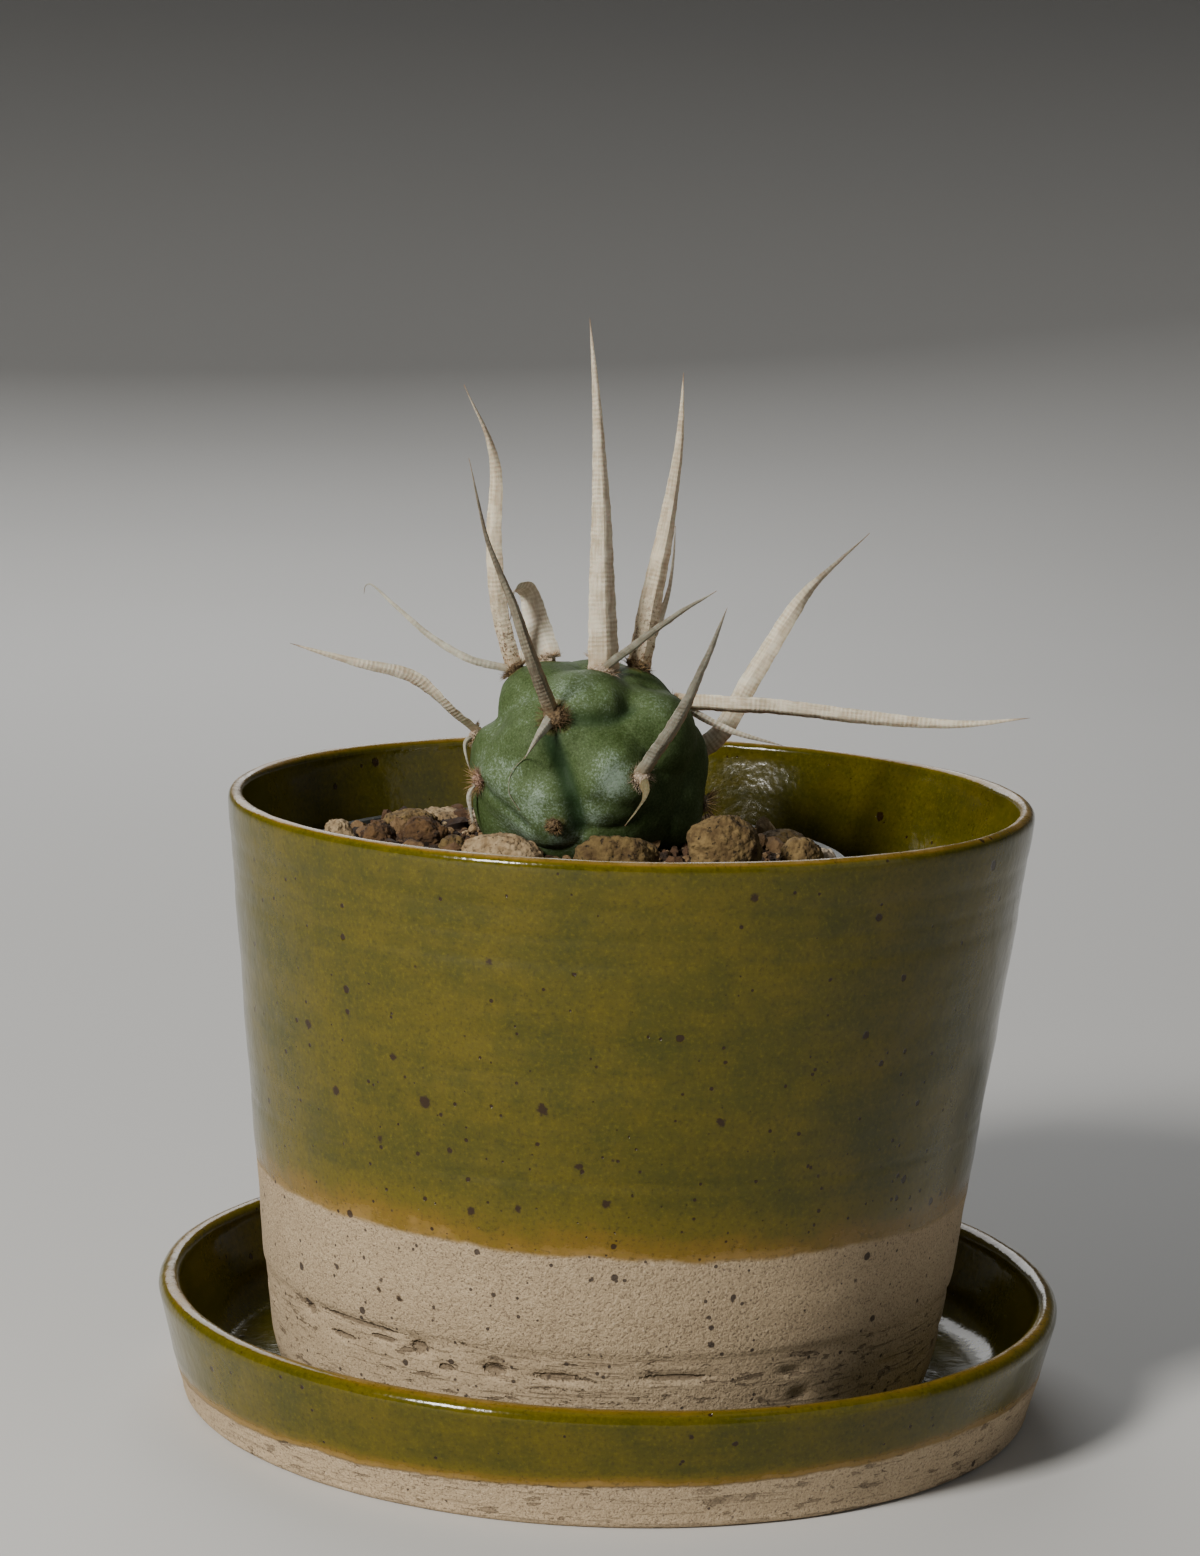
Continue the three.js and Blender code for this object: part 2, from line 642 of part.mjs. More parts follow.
const ring = ringStones().map((placed, index) => [`ring_${index + 1}`, placed]);
[...Object.entries(STONES), ...ring].forEach(([name, placed], index) => {
  add(`stone_${name}`, stone(placed, 500 + index, 0), placed.colour, 0.95);
  soil = soil.subtract(solid(stone(placed, 500 + index, CLEARANCE)));
});
add("soil", geometryOf(largestPiece(soil)), "#4a382a", 1);

export default plant;
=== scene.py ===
# A paper spine cactus in a clear nursery pot, which stands in a glazed stoneware pot on its own saucer.
# Metres, +Z up, the front facing -Y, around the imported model.
import functools
import math
import random

import bpy
from mathutils import Matrix, Quaternion, Vector


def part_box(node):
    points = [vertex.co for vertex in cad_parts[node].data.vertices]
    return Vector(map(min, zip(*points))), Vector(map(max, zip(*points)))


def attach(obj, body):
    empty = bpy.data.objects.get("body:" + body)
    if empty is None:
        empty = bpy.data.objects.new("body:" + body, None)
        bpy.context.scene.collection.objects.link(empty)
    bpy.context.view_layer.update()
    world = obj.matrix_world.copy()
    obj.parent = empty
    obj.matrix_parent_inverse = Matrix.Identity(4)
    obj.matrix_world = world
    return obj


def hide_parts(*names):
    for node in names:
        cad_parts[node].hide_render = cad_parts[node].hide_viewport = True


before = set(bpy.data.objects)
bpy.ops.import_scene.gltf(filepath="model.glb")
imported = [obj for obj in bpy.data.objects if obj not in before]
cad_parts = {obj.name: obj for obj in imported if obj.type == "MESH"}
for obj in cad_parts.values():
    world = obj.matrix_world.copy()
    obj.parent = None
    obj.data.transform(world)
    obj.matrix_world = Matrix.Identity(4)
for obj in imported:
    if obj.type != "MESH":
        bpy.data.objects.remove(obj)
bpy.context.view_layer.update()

# The saucer: a low dish thrown in speckled stoneware, dipped in an ash glaze that is glossy olive where
# it lies thick and honey brown where it thins over the lip. A band round its foot was left bare.
MM = 0.001
TURNING_STEPS = 240
SAUCER_RIM_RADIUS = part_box("saucer")[1].x / MM
SAUCER_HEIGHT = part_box("saucer")[1].z / MM
SAUCER_FOOT_RADIUS = 61.5
SAUCER_BAND_RADIUS = 63.2
SAUCER_BAND_HEIGHT = 7
SAUCER_WALL = 3.2
SAUCER_FLOOR = 3
SAUCER_WELL_RADIUS = 59.3
SAUCER_FILLET = 5
SAUCER_LINE = 6.2
SAUCER_LINE_SLOPE = 0.032


def walk(corners, step=0.8):
    """Adds points along the straight stretches of a profile, so that they can be shaped."""
    points = [corners[0]]
    for start, end in zip(corners, corners[1:]):
        count = max(1, math.ceil(math.dist(start, end) / step))
        for i in range(1, count + 1):
            share = i / count
            points.append(tuple(a + (b - a) * share for a, b in zip(start, end)))
    return points


def bend(radius, height, size, first, last, count=8):
    """Points round a lip or a fillet, from one angle to another, in degrees from outwards."""
    angles = [math.radians(first + (last - first) * i / count) for i in range(count + 1)]
    return [(radius + size * math.cos(a), height + size * math.sin(a)) for a in angles]


def added(name, add, **settings):
    """Adds one thing by its operator, with nothing else selected, and names it."""
    bpy.ops.object.select_all(action="DESELECT")
    add(**settings)
    bpy.context.object.name = name
    return bpy.context.object


def weld(distance):
    """Merges the points of the piece in edit mode that lie this close, in millimetres."""
    bpy.ops.mesh.select_all(action="SELECT")
    bpy.ops.mesh.remove_doubles(threshold=distance * MM)


def turned(name, profile, steps=TURNING_STEPS):
    """Draws a profile from one point, in millimetres, and spins it round the upright."""
    piece = added(name, bpy.ops.mesh.primitive_plane_add, size=MM, enter_editmode=True)
    bpy.ops.mesh.merge(type="CENTER")
    here = profile[0]
    bpy.ops.transform.translate(value=(here[0] * MM, 0, here[1] * MM))
    for there in profile[1:]:
        step = ((there[0] - here[0]) * MM, 0, (there[1] - here[1]) * MM)
        bpy.ops.mesh.extrude_vertices_move(TRANSFORM_OT_translate={"value": step})
        here = there
    bpy.ops.mesh.select_all(action="SELECT")
    bpy.ops.mesh.spin(steps=steps, angle=math.tau, center=(0, 0, 0), axis=(0, 0, 1))
    weld(0.02)
    bpy.ops.mesh.normals_make_consistent(inside=False)
    bpy.ops.object.mode_set(mode="OBJECT")
    return piece


def pick(piece):
    """Selects one piece alone and makes it the active one."""
    bpy.ops.object.select_all(action="DESELECT")
    piece.select_set(True)
    bpy.context.view_layer.objects.active = piece


def lumps(piece, size, height, group=""):
    """Pushes a piece's surface in and out by soft lumps of one size, both in millimetres."""
    texture = bpy.data.textures.new(piece.name, "CLOUDS")
    texture.noise_scale = size * MM
    texture.noise_depth = 2
    modifier = piece.modifiers.new("lumps", "DISPLACE")
    modifier.texture = texture
    modifier.texture_coords = "LOCAL"
    modifier.strength = height * MM
    modifier.vertex_group = group
    pick(piece)
    bpy.ops.object.modifier_apply(modifier=modifier.name)


def smooth(piece, sharpest=50):
    """Shades a piece smooth but for its sharp edges."""
    pick(piece)
    bpy.ops.object.shade_smooth_by_angle(angle=math.radians(sharpest))


class Field:
    """A value or colour that changes over a surface: a shader node's output. A sum on it adds a node."""

    def __init__(self, socket):
        self.socket = socket
        self.tree = socket.id_data

    def __add__(self, other):
        return calc("ADD", self, other)

    def __sub__(self, other):
        return calc("SUBTRACT", self, other)

    def __rsub__(self, other):
        return calc("SUBTRACT", other, self)

    def __mul__(self, other):
        return calc("MULTIPLY", self, other)

    def __truediv__(self, other):
        return calc("DIVIDE", self, other)

    def __rtruediv__(self, other):
        return calc("DIVIDE", other, self)

    def __lt__(self, other):
        return calc("LESS_THAN", self, other)

    def __gt__(self, other):
        return calc("GREATER_THAN", self, other)

    __radd__ = __add__
    __rmul__ = __mul__


def node(tree, kind, inputs, **settings):
    """Adds a shader node and gives its outputs. Each input is a plain value or a field."""
    made = tree.nodes.new("ShaderNode" + kind)
    for name, value in settings.items():
        setattr(made, name, value)
    for name, value in inputs.items():
        socket = made.inputs[name]
        if isinstance(value, Field):
            tree.links.new(value.socket, socket)
        elif socket.type == "RGBA":
            socket.default_value = (*value, 1)
        else:
            socket.default_value = value
    return {output.identifier: Field(output) for output in made.outputs}


def calc(operation, first, second):
    """One sum on two values, at least one of them a field."""
    tree = (first if isinstance(first, Field) else second).tree
    return node(tree, "Math", {0: first, 1: second}, operation=operation)["Value"]


def most(fields):
    """The highest of some fields, place by place."""
    return functools.reduce(lambda first, second: calc("MAXIMUM", first, second), fields)


def span(field, low, high, bottom=0.0, top=1.0):
    """How far a field has climbed from low to high, eased, from bottom to top."""
    inputs = {"Value": field, "From Min": low, "From Max": high, "To Min": bottom, "To Max": top}
    return node(field.tree, "MapRange", inputs, interpolation_type="SMOOTHSTEP")["Result"]


def mixed(share, first, second):
    """A colour part of the way between two others."""
    return node(share.tree, "Mix", {0: share, 6: first, 7: second}, data_type="RGBA")["Result_Color"]


def cloudy(place, size, detail=3.0, roughness=0.5):
    """Soft chance variation from 0 to 1, its features of a size in millimetres."""
    inputs = {"Vector": place, "Scale": 1 / (size * MM), "Detail": detail, "Roughness": roughness}
    return node(place.tree, "TexNoise", inputs)["Fac"]


def cells(place, size):
    """How far a place is from the middle of its own chance cell, the cells of a size in millimetres."""
    return node(place.tree, "TexVoronoi", {"Vector": place, "Scale": 1 / (size * MM)})["Distance"]


def stretched(place, scale):
    """The place, with its three directions scaled, so that a pattern is drawn out along one."""
    return node(place.tree, "Mapping", {"Vector": place, "Scale": scale})["Vector"]


def sides(place):
    """The three coordinates of a place."""
    return node(place.tree, "SeparateXYZ", {0: place}).values()


def shared(name, inputs, outputs):
    """Starts a node group that several materials use, and gives its tree and the fields that it is given."""
    tree = bpy.data.node_groups.new(name, "ShaderNodeTree")
    for in_out, sockets in ("INPUT", inputs), ("OUTPUT", outputs):
        for socket, kind in sockets.items():
            tree.interface.new_socket(socket, in_out=in_out, socket_type="NodeSocket" + kind)
    given = tree.nodes.new("NodeGroupInput").outputs
    return tree, [Field(given[socket]) for socket in inputs]


def give(tree, results):
    """Ends a node group with its results by name."""
    end = tree.nodes.new("NodeGroupOutput")
    for name, field in results.items():
        tree.links.new(field.socket, end.inputs[name])
    return tree


def grouped(tree, group, inputs):
    """Uses a node group and gives its outputs by name."""
    outputs = node(tree, "Group", inputs, node_tree=group).values()
    return {output.socket.name: output for output in outputs}


def material(name, plain):
    """Starts a material: it, its shader with the plain values set, and the place on the piece."""
    made = bpy.data.materials.new(name)
    made.use_nodes = True
    shader = made.node_tree.nodes["Principled BSDF"]
    for socket, value in plain.items():
        shader.inputs[socket].default_value = value
    return made, shader, node(made.node_tree, "TexCoord", {})["Object"]


def surface(shader, colour, height=None, roughness=None):
    """Gives a surface its colour, its fine relief in millimetres and its roughness, if that changes."""
    tree = shader.id_data
    links = {"Base Color": colour, "Roughness": roughness}
    if height:
        links["Normal"] = node(tree, "Bump", {"Height": height, "Distance": MM})["Normal"]
    for name, field in links.items():
        if field:
            tree.links.new(field.socket, shader.inputs[name])


def iron_specks():
    """Dark spots where iron in the clay bled through: a mask, for a spacing and a share of filled places."""
    tree, (place, spacing, share) = shared(
        "iron specks", {"Place": "Vector", "Spacing": "Float", "Share": "Float"}, {"Mask": "Float"}
    )
    spots = node(tree, "TexVoronoi", {"Vector": place, "Scale": 1 / MM / spacing})
    filled, size, _ = node(tree, "SeparateColor", {"Color": spots["Color"]}).values()
    reach = calc("POWER", size, 2.0) * 0.13 + 0.06
    edge = cloudy(place, 0.45) * 0.09 - 0.045
    return give(tree, {"Mask": (filled < share) * span(reach - (spots["Distance"] + edge), -0.012, 0.03)})


def glazed_clay(specks):
    """Speckled stoneware, bare or under an ash glaze, as colour, roughness and relief.

    Cover is 1 where there is glaze and Thickness how thick it lies. Trimmed is 1 where the clay was cut
    with a tool, and Speckling the share of small iron specks.
    """
    tree, (place, cover, thick, trimmed, speckling) = shared(
        "glazed clay",
        {"Place": "Vector", "Cover": "Float", "Thickness": "Float", "Trimmed": "Float", "Speckling": "Float"},
        {"Color": "Color", "Roughness": "Float", "Height": "Float"},
    )

    def specked(spacing, share):
        return grouped(tree, specks, {"Place": place, "Spacing": spacing, "Share": share})["Mask"]

    flecks = cloudy(place, 0.55, 3.0, 0.7)
    thick = (cloudy(place, 11.0, 4.0) - 0.5) * 0.9 + thick
    thick = (cloudy(place, 2.4, 3.0, 0.6) - 0.5) * 0.5 + thick
    thick = (cloudy(stretched(place, (0.1, 0.1, 1.0)), 1.8, 4.0, 0.6) - 0.5) * 0.45 + thick
    glaze = mixed(span(thick, 0.0, 0.3), (0.25, 0.15, 0.035), (0.17, 0.1, 0.006))
    glaze = mixed(span(thick, 0.2, 0.75), glaze, (0.098, 0.076, 0.0005))
    glaze = mixed(span(thick, 0.75, 1.35), glaze, (0.05, 0.048, 0.0005))
    glaze = mixed(span(flecks, 0.5, 0.76, 0.0, 0.4), glaze, (0.17, 0.138, 0.001))
    glaze = mixed(span(flecks, 0.47, 0.3, 0.0, 0.55), glaze, (0.032, 0.026, 0.001))
    spots = most([specked(5.5, 0.15), specked(3.4, speckling), specked(1.7, speckling)])
    glaze = mixed(spots * 0.92, glaze, (0.022, 0.008, 0.002))
    sand = cloudy(place, 0.34, 3.0, 0.75)
    clay = mixed(cloudy(place, 5.0, 5.0, 0.6), (0.42, 0.31, 0.19), (0.56, 0.43, 0.27))
    # Darker where the sand lies low, the same noise that sinks the grit relief: partly the clay's dark
    # grains, partly painted shade between them.
    clay = mixed(span(sand, 0.48, 0.34, 0.0, 0.85), clay, (0.15, 0.11, 0.075))
    clay = mixed(span(sand, 0.56, 0.7, 0.0, 0.5), clay, (0.74, 0.62, 0.44))
    clay = mixed(specked(1.0, 0.7) * 0.6, clay, (0.12, 0.095, 0.08))
    clay = mixed(spots * 0.9, clay, (0.05, 0.035, 0.028))
    drawn = cloudy(stretched(place, (0.05, 0.05, 1.0)), 0.45, 4.0, 0.65)
    scratch = span(drawn, 0.42, 0.36) * trimmed
    torn = cloudy(stretched(place, (0.3, 0.3, 1.0)), 1.1, 4.0, 0.6)
    gouge = span(torn, 0.39, 0.36) * trimmed
    clay = mixed(scratch * 0.35, clay, (0.22, 0.15, 0.09))
    clay = mixed(gouge * 0.65, clay, (0.11, 0.075, 0.045))
    grit = sand * 0.42 + cloudy(place, 2.6) * 0.14 - cells(place, 0.85) * 0.17
    grit = grit * (1 - trimmed * 0.5) - scratch * 0.14 - gouge * 0.45
    peel = cloudy(place, 0.9, 2.0) * 0.03 + cloudy(place, 3.2, 2.0) * 0.09
    skin = peel + 0.2 - spots * 0.04
    gloss = span(thick, 0.5, 0.0) * 0.22 + flecks * 0.08 + 0.11
    return give(tree, {
        "Color": mixed(cover, clay, glaze),
        "Roughness": node(tree, "Mix", {0: cover, 2: 0.9, 3: gloss})["Result_Float"],
        "Height": node(tree, "Mix", {0: cover, 2: grit, 3: skin})["Result_Float"],
    })


CLAY = glazed_clay(iron_specks())


def glazed_material(name, looks, marks=lambda place: []):
    """Glazed stoneware.

    Looks gives the glaze's cover, its thickness and the rest for a place on the piece, and marks a list of
    masks, each with its share of colour, its colour and its height in millimetres.
    """
    made, shader, place = material(name, {"IOR": 1.52, "Specular IOR Level": 0.38})
    x, y, z = (side / MM for side in sides(place))
    out = calc("SQRT", x * x + y * y, 0)
    wander = cloudy(place, 14.0, 6.0, 0.62) - 0.5
    clay = grouped(made.node_tree, CLAY, {"Place": place, **looks(x, y, z, out, wander)})
    colour, height = clay["Color"], clay["Height"]
    for mask, share, tint, rise in marks(place):
        colour = mixed(mask * share, colour, tint)
        height = mask * rise + height
    surface(shader, colour, height, clay["Roughness"])
    return made


def saucer_looks(x, y, z, out, wander):
    """Glaze above the foot band, which it leaves a little higher on the right, and all over the well."""
    over_line = z - (wander * 2.2 + x * SAUCER_LINE_SLOPE + SAUCER_LINE)
    in_well = (out < 61) * (z > 1.5)
    wall = span(over_line, 0.0, 2.6) * span(SAUCER_HEIGHT - z, -0.2, 0.8, 0.2, 1.0)
    deep = span(out, 62.0, 60.0) * 1.15
    return {
        "Cover": most([span(over_line, -0.2, 0.2), in_well]),
        "Thickness": most([wall, deep]),
        "Trimmed": 0.8,
        "Speckling": 0.2,
    }


saucer_lip = SAUCER_WALL / 2
saucer = turned(
    "saucer_dish",
    walk([(0, 0), (SAUCER_FOOT_RADIUS - 1.2, 0)], 4)
    + bend(SAUCER_FOOT_RADIUS - 1.2, 1.2, 1.2, -90, -10, 4)
    + walk([(SAUCER_FOOT_RADIUS, 1.4), (SAUCER_BAND_RADIUS, SAUCER_BAND_HEIGHT)])
    + walk([(SAUCER_BAND_RADIUS + 0.1, SAUCER_BAND_HEIGHT + 0.6), (SAUCER_RIM_RADIUS, 15.2)])
    + bend(SAUCER_RIM_RADIUS - saucer_lip, SAUCER_HEIGHT - saucer_lip, saucer_lip, 0, 180, 10)
    + walk([(SAUCER_RIM_RADIUS - 3.25, 15), (SAUCER_WELL_RADIUS + 0.1, 8.6)])
    + bend(SAUCER_WELL_RADIUS - SAUCER_FILLET, SAUCER_FLOOR + SAUCER_FILLET, SAUCER_FILLET, 0, -90)
    + walk([(SAUCER_WELL_RADIUS - 7, SAUCER_FLOOR), (0, SAUCER_FLOOR)], 4),
)
lumps(saucer, 60, 0.5)
lumps(saucer, 6, 0.12)
smooth(saucer)
saucer.data.materials.append(glazed_material("saucer_glaze", saucer_looks))
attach(saucer, "root")
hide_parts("saucer")

# The stoneware pot: thrown a little uneven and leaning, its finger rings still there under the glaze.
# Inside and out it has the saucer's glaze, but for the foot, which is bare, scratched and pitted clay.
POT_FOOT = SAUCER_FLOOR
POT_HEIGHT = 84.9
POT_RIM_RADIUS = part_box("stoneware_pot")[1].x / MM - 0.7
POT_TAPER = 0.111
POT_TUCK = 1.95
POT_TUCK_HEIGHT = 4
POT_LIP = 2.4
POT_WALL = 4.2
POT_FLOOR = 5
POT_DRAIN_RADIUS = 7
POT_FOOT_SHIFT = -0.5
POT_LEAN = 1.2
POT_RIM_TILT = (0.0092, -0.0063)
POT_LINE = 33.8
POT_LINE_SLOPE = -0.016
POT_CUT_LINE = 16.7
POT_CUT_DEPTH = 0.18
THROWING_RINGS = [
    (40.9, 0.1), (45.6, 0.03), (55.5, 0.03), (63.8, 0.03), (71, 0.05), (74.4, 0.07), (78.3, 0.06),
]
RING_HALF_HEIGHT = 0.6
BIG_SPECKS = [
    (-28, 53.2, 0.85), (-10.2, 54.1, 0.75), (-50.8, 60.1, 0.8), (-44.9, 51.9, 0.65), (-33.2, 58.7, 0.5),
    (-17.8, 73.7, 0.45), (-36.3, 46.6, 0.5), (-20.8, 38.9, 0.55), (-13.7, 40, 0.5), (-0.7, 41.5, 0.6),
    (-4.8, 46.6, 0.5), (15, 53.1, 0.6), (-33.8, 24.5, 0.45), (-37.9, 25, 0.4),
]
FOOT_RADIUS = 49.5
FOOT_MARKS = [
    (-55.5, 18.4, 1.2, 0.8, 0.7), (-43, 19.3, 9, 0.4, 0.3), (-46.6, 16.5, 3, 0.5, 0.4),
    (-37, 18, 2.5, 0.45, 0.35), (-30.2, 17.9, 1.5, 1.1, 0.9), (-25.3, 15.8, 1.4, 0.5, 0.45),
    (-17.1, 16.5, 1.8, 1, 0.95), (-7, 16.4, 3.8, 0.6, 0.6), (11.5, 16.8, 5.6, 0.5, 0.5),
]
FAR_MARKS = 26
FAR_MARK_DEPTH = 0.5


def far_mark(chance):
    """A chance mark in the foot, on the side that the photographed marks leave free."""
    bearing, height = chance.uniform(30, 290), chance.uniform(11, 19)
    half_length = 1 + 5 * chance.random() ** 2
    return bearing, height, half_length, chance.uniform(0.4, 0.8), FAR_MARK_DEPTH


chance = random.Random(5)
foot_marks = FOOT_MARKS + [far_mark(chance) for _ in range(FAR_MARKS)]


def straight_radius(z):
    """The pot's outside without its rings, at a height in the object's frame."""
    return POT_RIM_RADIUS - POT_TAPER * (POT_FOOT + POT_HEIGHT - POT_LIP / 2 - z)


def pot_radius(height):
    """The pot's outside: a straight taper with finger rings, tucked in and cut back at the foot."""
    rings = 0
    for ring, depth in THROWING_RINGS:
        rings += depth * math.exp(-(((height - ring) / RING_HALF_HEIGHT) ** 2))
    swell = 0.06 * math.sin(height * 0.4) + 0.02 * math.sin(height * 1.1 + 1)
    cut = POT_CUT_DEPTH / (1 + math.exp(6 * (height - POT_CUT_LINE)))
    tuck = POT_TUCK * math.exp(-height / POT_TUCK_HEIGHT)
    return straight_radius(POT_FOOT + height) + swell - rings - cut - tuck


def mark_depth(bearing, height):
    """How deep the gouges and pits in the bare foot go at a bearing from the front and a height."""
    depth = 0
    for middle, level, half_length, half_height, deepest in foot_marks:
        turn = (bearing - middle + 180) % 360 - 180
        across = math.radians(turn) * FOOT_RADIUS / half_length
        down = (height - level) / half_height
        if abs(across) < 2 and abs(down) < 2.5:
            depth = max(depth, deepest * math.exp(-(across**4) - down * down))
    return depth


def pot_looks(x, y, z, out, wander):
    """Glaze down to a soft wandering line and all over the inside, thin at the line and at the lip."""
    over_line = z - (wander * 3.2 + x * POT_LINE_SLOPE + POT_LINE)
    inside = (out < straight_radius(z) - 2) * (z > 6)
    edge = span(over_line, -1.0, 9.0, 0.1, 1.05)
    below_rim = x * POT_RIM_TILT[0] + y * POT_RIM_TILT[1] + (POT_FOOT + POT_HEIGHT) - z
    return {
        "Cover": most([span(over_line, -0.45, 0.45), inside]),
        "Thickness": most([edge, inside]) * span(below_rim, 0.25, 0.8, 0.2, 1.0),
        "Trimmed": span(z, 20.4, 19.2),
        "Speckling": span(z, 80.0, 36.0, 0.2, 1.0),
    }


def speck_at(place, ragged, bearing, height, size):
    """One large iron speck on the pot's outside, as a mask."""
    out, turn = straight_radius(height) * MM, math.radians(bearing)
    middle = (out * math.sin(turn), -out * math.cos(turn), height * MM)
    away = node(place.tree, "VectorMath", {0: place, 1: middle}, operation="DISTANCE")["Value"]
    return span(away + ragged, (0.75 + size) * MM, (0.35 + size) * MM)


def mark_at(place, ragged, bearing, height, half_length, half_height, _):
    """One gouge or pit in the bare foot, as a mask."""
    turn = math.radians(bearing)
    spot = (FOOT_RADIUS * math.sin(turn) + POT_FOOT_SHIFT, -FOOT_RADIUS * math.cos(turn), height)
    reach = (half_length * MM, 3 * MM, half_height * MM)
    inputs = {"Vector": place, "Location": Vector(spot) * MM, "Rotation": (0, 0, turn), "Scale": reach}
    there = node(place.tree, "Mapping", inputs, vector_type="TEXTURE")["Vector"]
    away = node(place.tree, "VectorMath", {0: there}, operation="LENGTH")["Value"]
    return span(ragged * 900 + away, 1.5, 1.1)


def pot_marks(place):
    """The large iron specks and the gouges and pits in the foot, ragged at the edge."""
    ragged = cloudy(place, 0.6) * (1.1 * MM)
    specks = most([speck_at(place, ragged, *speck) for speck in BIG_SPECKS])
    gouges = most([mark_at(place, ragged, *mark) for mark in FOOT_MARKS])
    return [(specks, 0.92, (0.022, 0.008, 0.002), 0), (gouges, 0.6, (0.1, 0.066, 0.038), -0.6)]


lip = POT_LIP / 2
outside = [(pot_radius(0.5 * i), 0.5 * i) for i in range(1, 167)]
inner = [(pot_radius(height) - POT_WALL, height) for height in (70, 44, 12)]
floor_edge = pot_radius(POT_FLOOR + 6) - POT_WALL - 6
pot = turned(
    "thrown_pot",
    walk([(POT_DRAIN_RADIUS, 0), (pot_radius(0) - 0.6, 0)], 4)
    + outside
    + bend(POT_RIM_RADIUS - lip, POT_HEIGHT - lip, lip, 0, 180, 10)
    + walk([(POT_RIM_RADIUS - POT_LIP, POT_HEIGHT - lip - 0.5), *inner], 1.6)
    + bend(floor_edge, POT_FLOOR + 6, 6, 0, -90)
    + walk([(floor_edge, POT_FLOOR), (POT_DRAIN_RADIUS, POT_FLOOR), (POT_DRAIN_RADIUS, 0)], 4),
    300,
)
for vertex in pot.data.vertices:
    x, y, height = (side / MM for side in vertex.co)
    up = max(height - POT_FLOOR, 0) / (POT_HEIGHT - POT_FLOOR)
    height += POT_FOOT + up * (POT_RIM_TILT[0] * x + POT_RIM_TILT[1] * y)
    if height < 23 and math.hypot(x, y) > FOOT_RADIUS - 3:
        keep = 1 - mark_depth(math.degrees(math.atan2(x, -y)), height) / FOOT_RADIUS
        x, y = x * keep, y * keep
    vertex.co = Vector((x + POT_FOOT_SHIFT + POT_LEAN * up, y, height)) * MM
lumps(pot, 70, 0.6)
lumps(pot, 8, 0.14)
smooth(pot)
pot.data.materials.append(glazed_material("pot_glaze", pot_looks, pot_marks))
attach(pot, "root")
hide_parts("stoneware_pot")

# The nursery pot: a thin, cloudy clear liner that the cactus grew in, with a small turned-out rim. It
# stands off centre on the stoneware pot's floor and can be lifted out with the plant.
LINER_CENTRE = (-7, 4)
LINER_BASE = 8
LINER_BASE_RADIUS = 29.5
LINER_TOP_RADIUS = 38.6
LINER_RIM_RADIUS = 39.7
LINER_RIM_DEPTH = 2
LINER_HEIGHT = 70
LINER_WALL = 0.8


def liner_inside(height):
    """The liner's inside radius at a height above its base."""
    up = height / (LINER_HEIGHT - LINER_RIM_DEPTH)
    return LINER_BASE_RADIUS + (LINER_TOP_RADIUS - LINER_BASE_RADIUS) * up - LINER_WALL


def shift(piece, x, y, z):
    """Moves a finished mesh to its place, in millimetres, its object staying at the origin."""
    piece.data.transform(Matrix.Translation(Vector((x, y, z)) * MM))


under_rim = LINER_HEIGHT - LINER_RIM_DEPTH
liner = turned(
    "nursery_liner",
    [(0, 0), (LINER_BASE_RADIUS - 0.8, 0), (LINER_BASE_RADIUS, 0.7)]
    + walk([(LINER_BASE_RADIUS + 0.1, 1.4), (LINER_TOP_RADIUS, under_rim - 0.3)], 4)
    + [(LINER_TOP_RADIUS + 0.3, under_rim), (LINER_RIM_RADIUS - 0.3, under_rim)]
    + [(LINER_RIM_RADIUS, under_rim + 0.3), (LINER_RIM_RADIUS, LINER_HEIGHT - 0.4)]
    + [(LINER_RIM_RADIUS - 0.3, LINER_HEIGHT), (LINER_TOP_RADIUS - LINER_WALL + 0.3, LINER_HEIGHT)]
    + walk([(LINER_TOP_RADIUS - LINER_WALL, LINER_HEIGHT - 0.5), (LINER_BASE_RADIUS - LINER_WALL, 0.8)], 4)
    + [(0, 0.8)],
    120,
)
shift(liner, *LINER_CENTRE, LINER_BASE)
smooth(liner, 35)
plastic = {"Transmission Weight": 0.85, "Roughness": 0.42, "IOR": 1.46, "Specular IOR Level": 0.15}
made, shader, place = material("cloudy_plastic", plastic)
haze = cloudy(stretched(place, (1, 1, 0.3)), 5.0, 4.0)
surface(shader, mixed(haze, (0.13, 0.15, 0.15), (0.3, 0.33, 0.33)), haze * 0.05)
liner.data.materials.append(made)
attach(liner, "root")
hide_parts("nursery_pot")

# The soil: a dark brown gritty mix that fills the liner and rises in a low mound round the cactus. Its
# top is loose, with crumbs of lava, bark and clay that lie on it and stick out of it.
SOIL_EDGE = 77
SOIL_MOUND = 3
SOIL_ROUGHNESS = 0.45
CACTUS_CENTRE = Vector((-5.5, 2, 90.5))
CACTUS_CLEAR = 15.5
COARSE_CRUMBS = 420
FINE_CRUMBS = 2600


def soil_top(x, y):
    """The soil's height at a place in the object's frame."""
    x, y = x - LINER_CENTRE[0], y - LINER_CENTRE[1]
    out = math.hypot(x, y) / LINER_TOP_RADIUS
    uneven = math.sin(0.62 * x + 1) * math.cos(0.53 * y) + math.sin(0.31 * x - 0.41 * y)
    return SOIL_EDGE + SOIL_MOUND * (1 - out * out) + SOIL_ROUGHNESS * uneven


def paint(piece, name, values):
    """Gives each point of a piece a value of its own, under a name."""
    piece.data.attributes.new(name, "FLOAT", "POINT").data.foreach_set("value", values)


def painted(shader, name):
    """The value of that name that the points of the piece have."""
    return node(shader.id_data, "Attribute", {}, attribute_name=name)["Fac"]


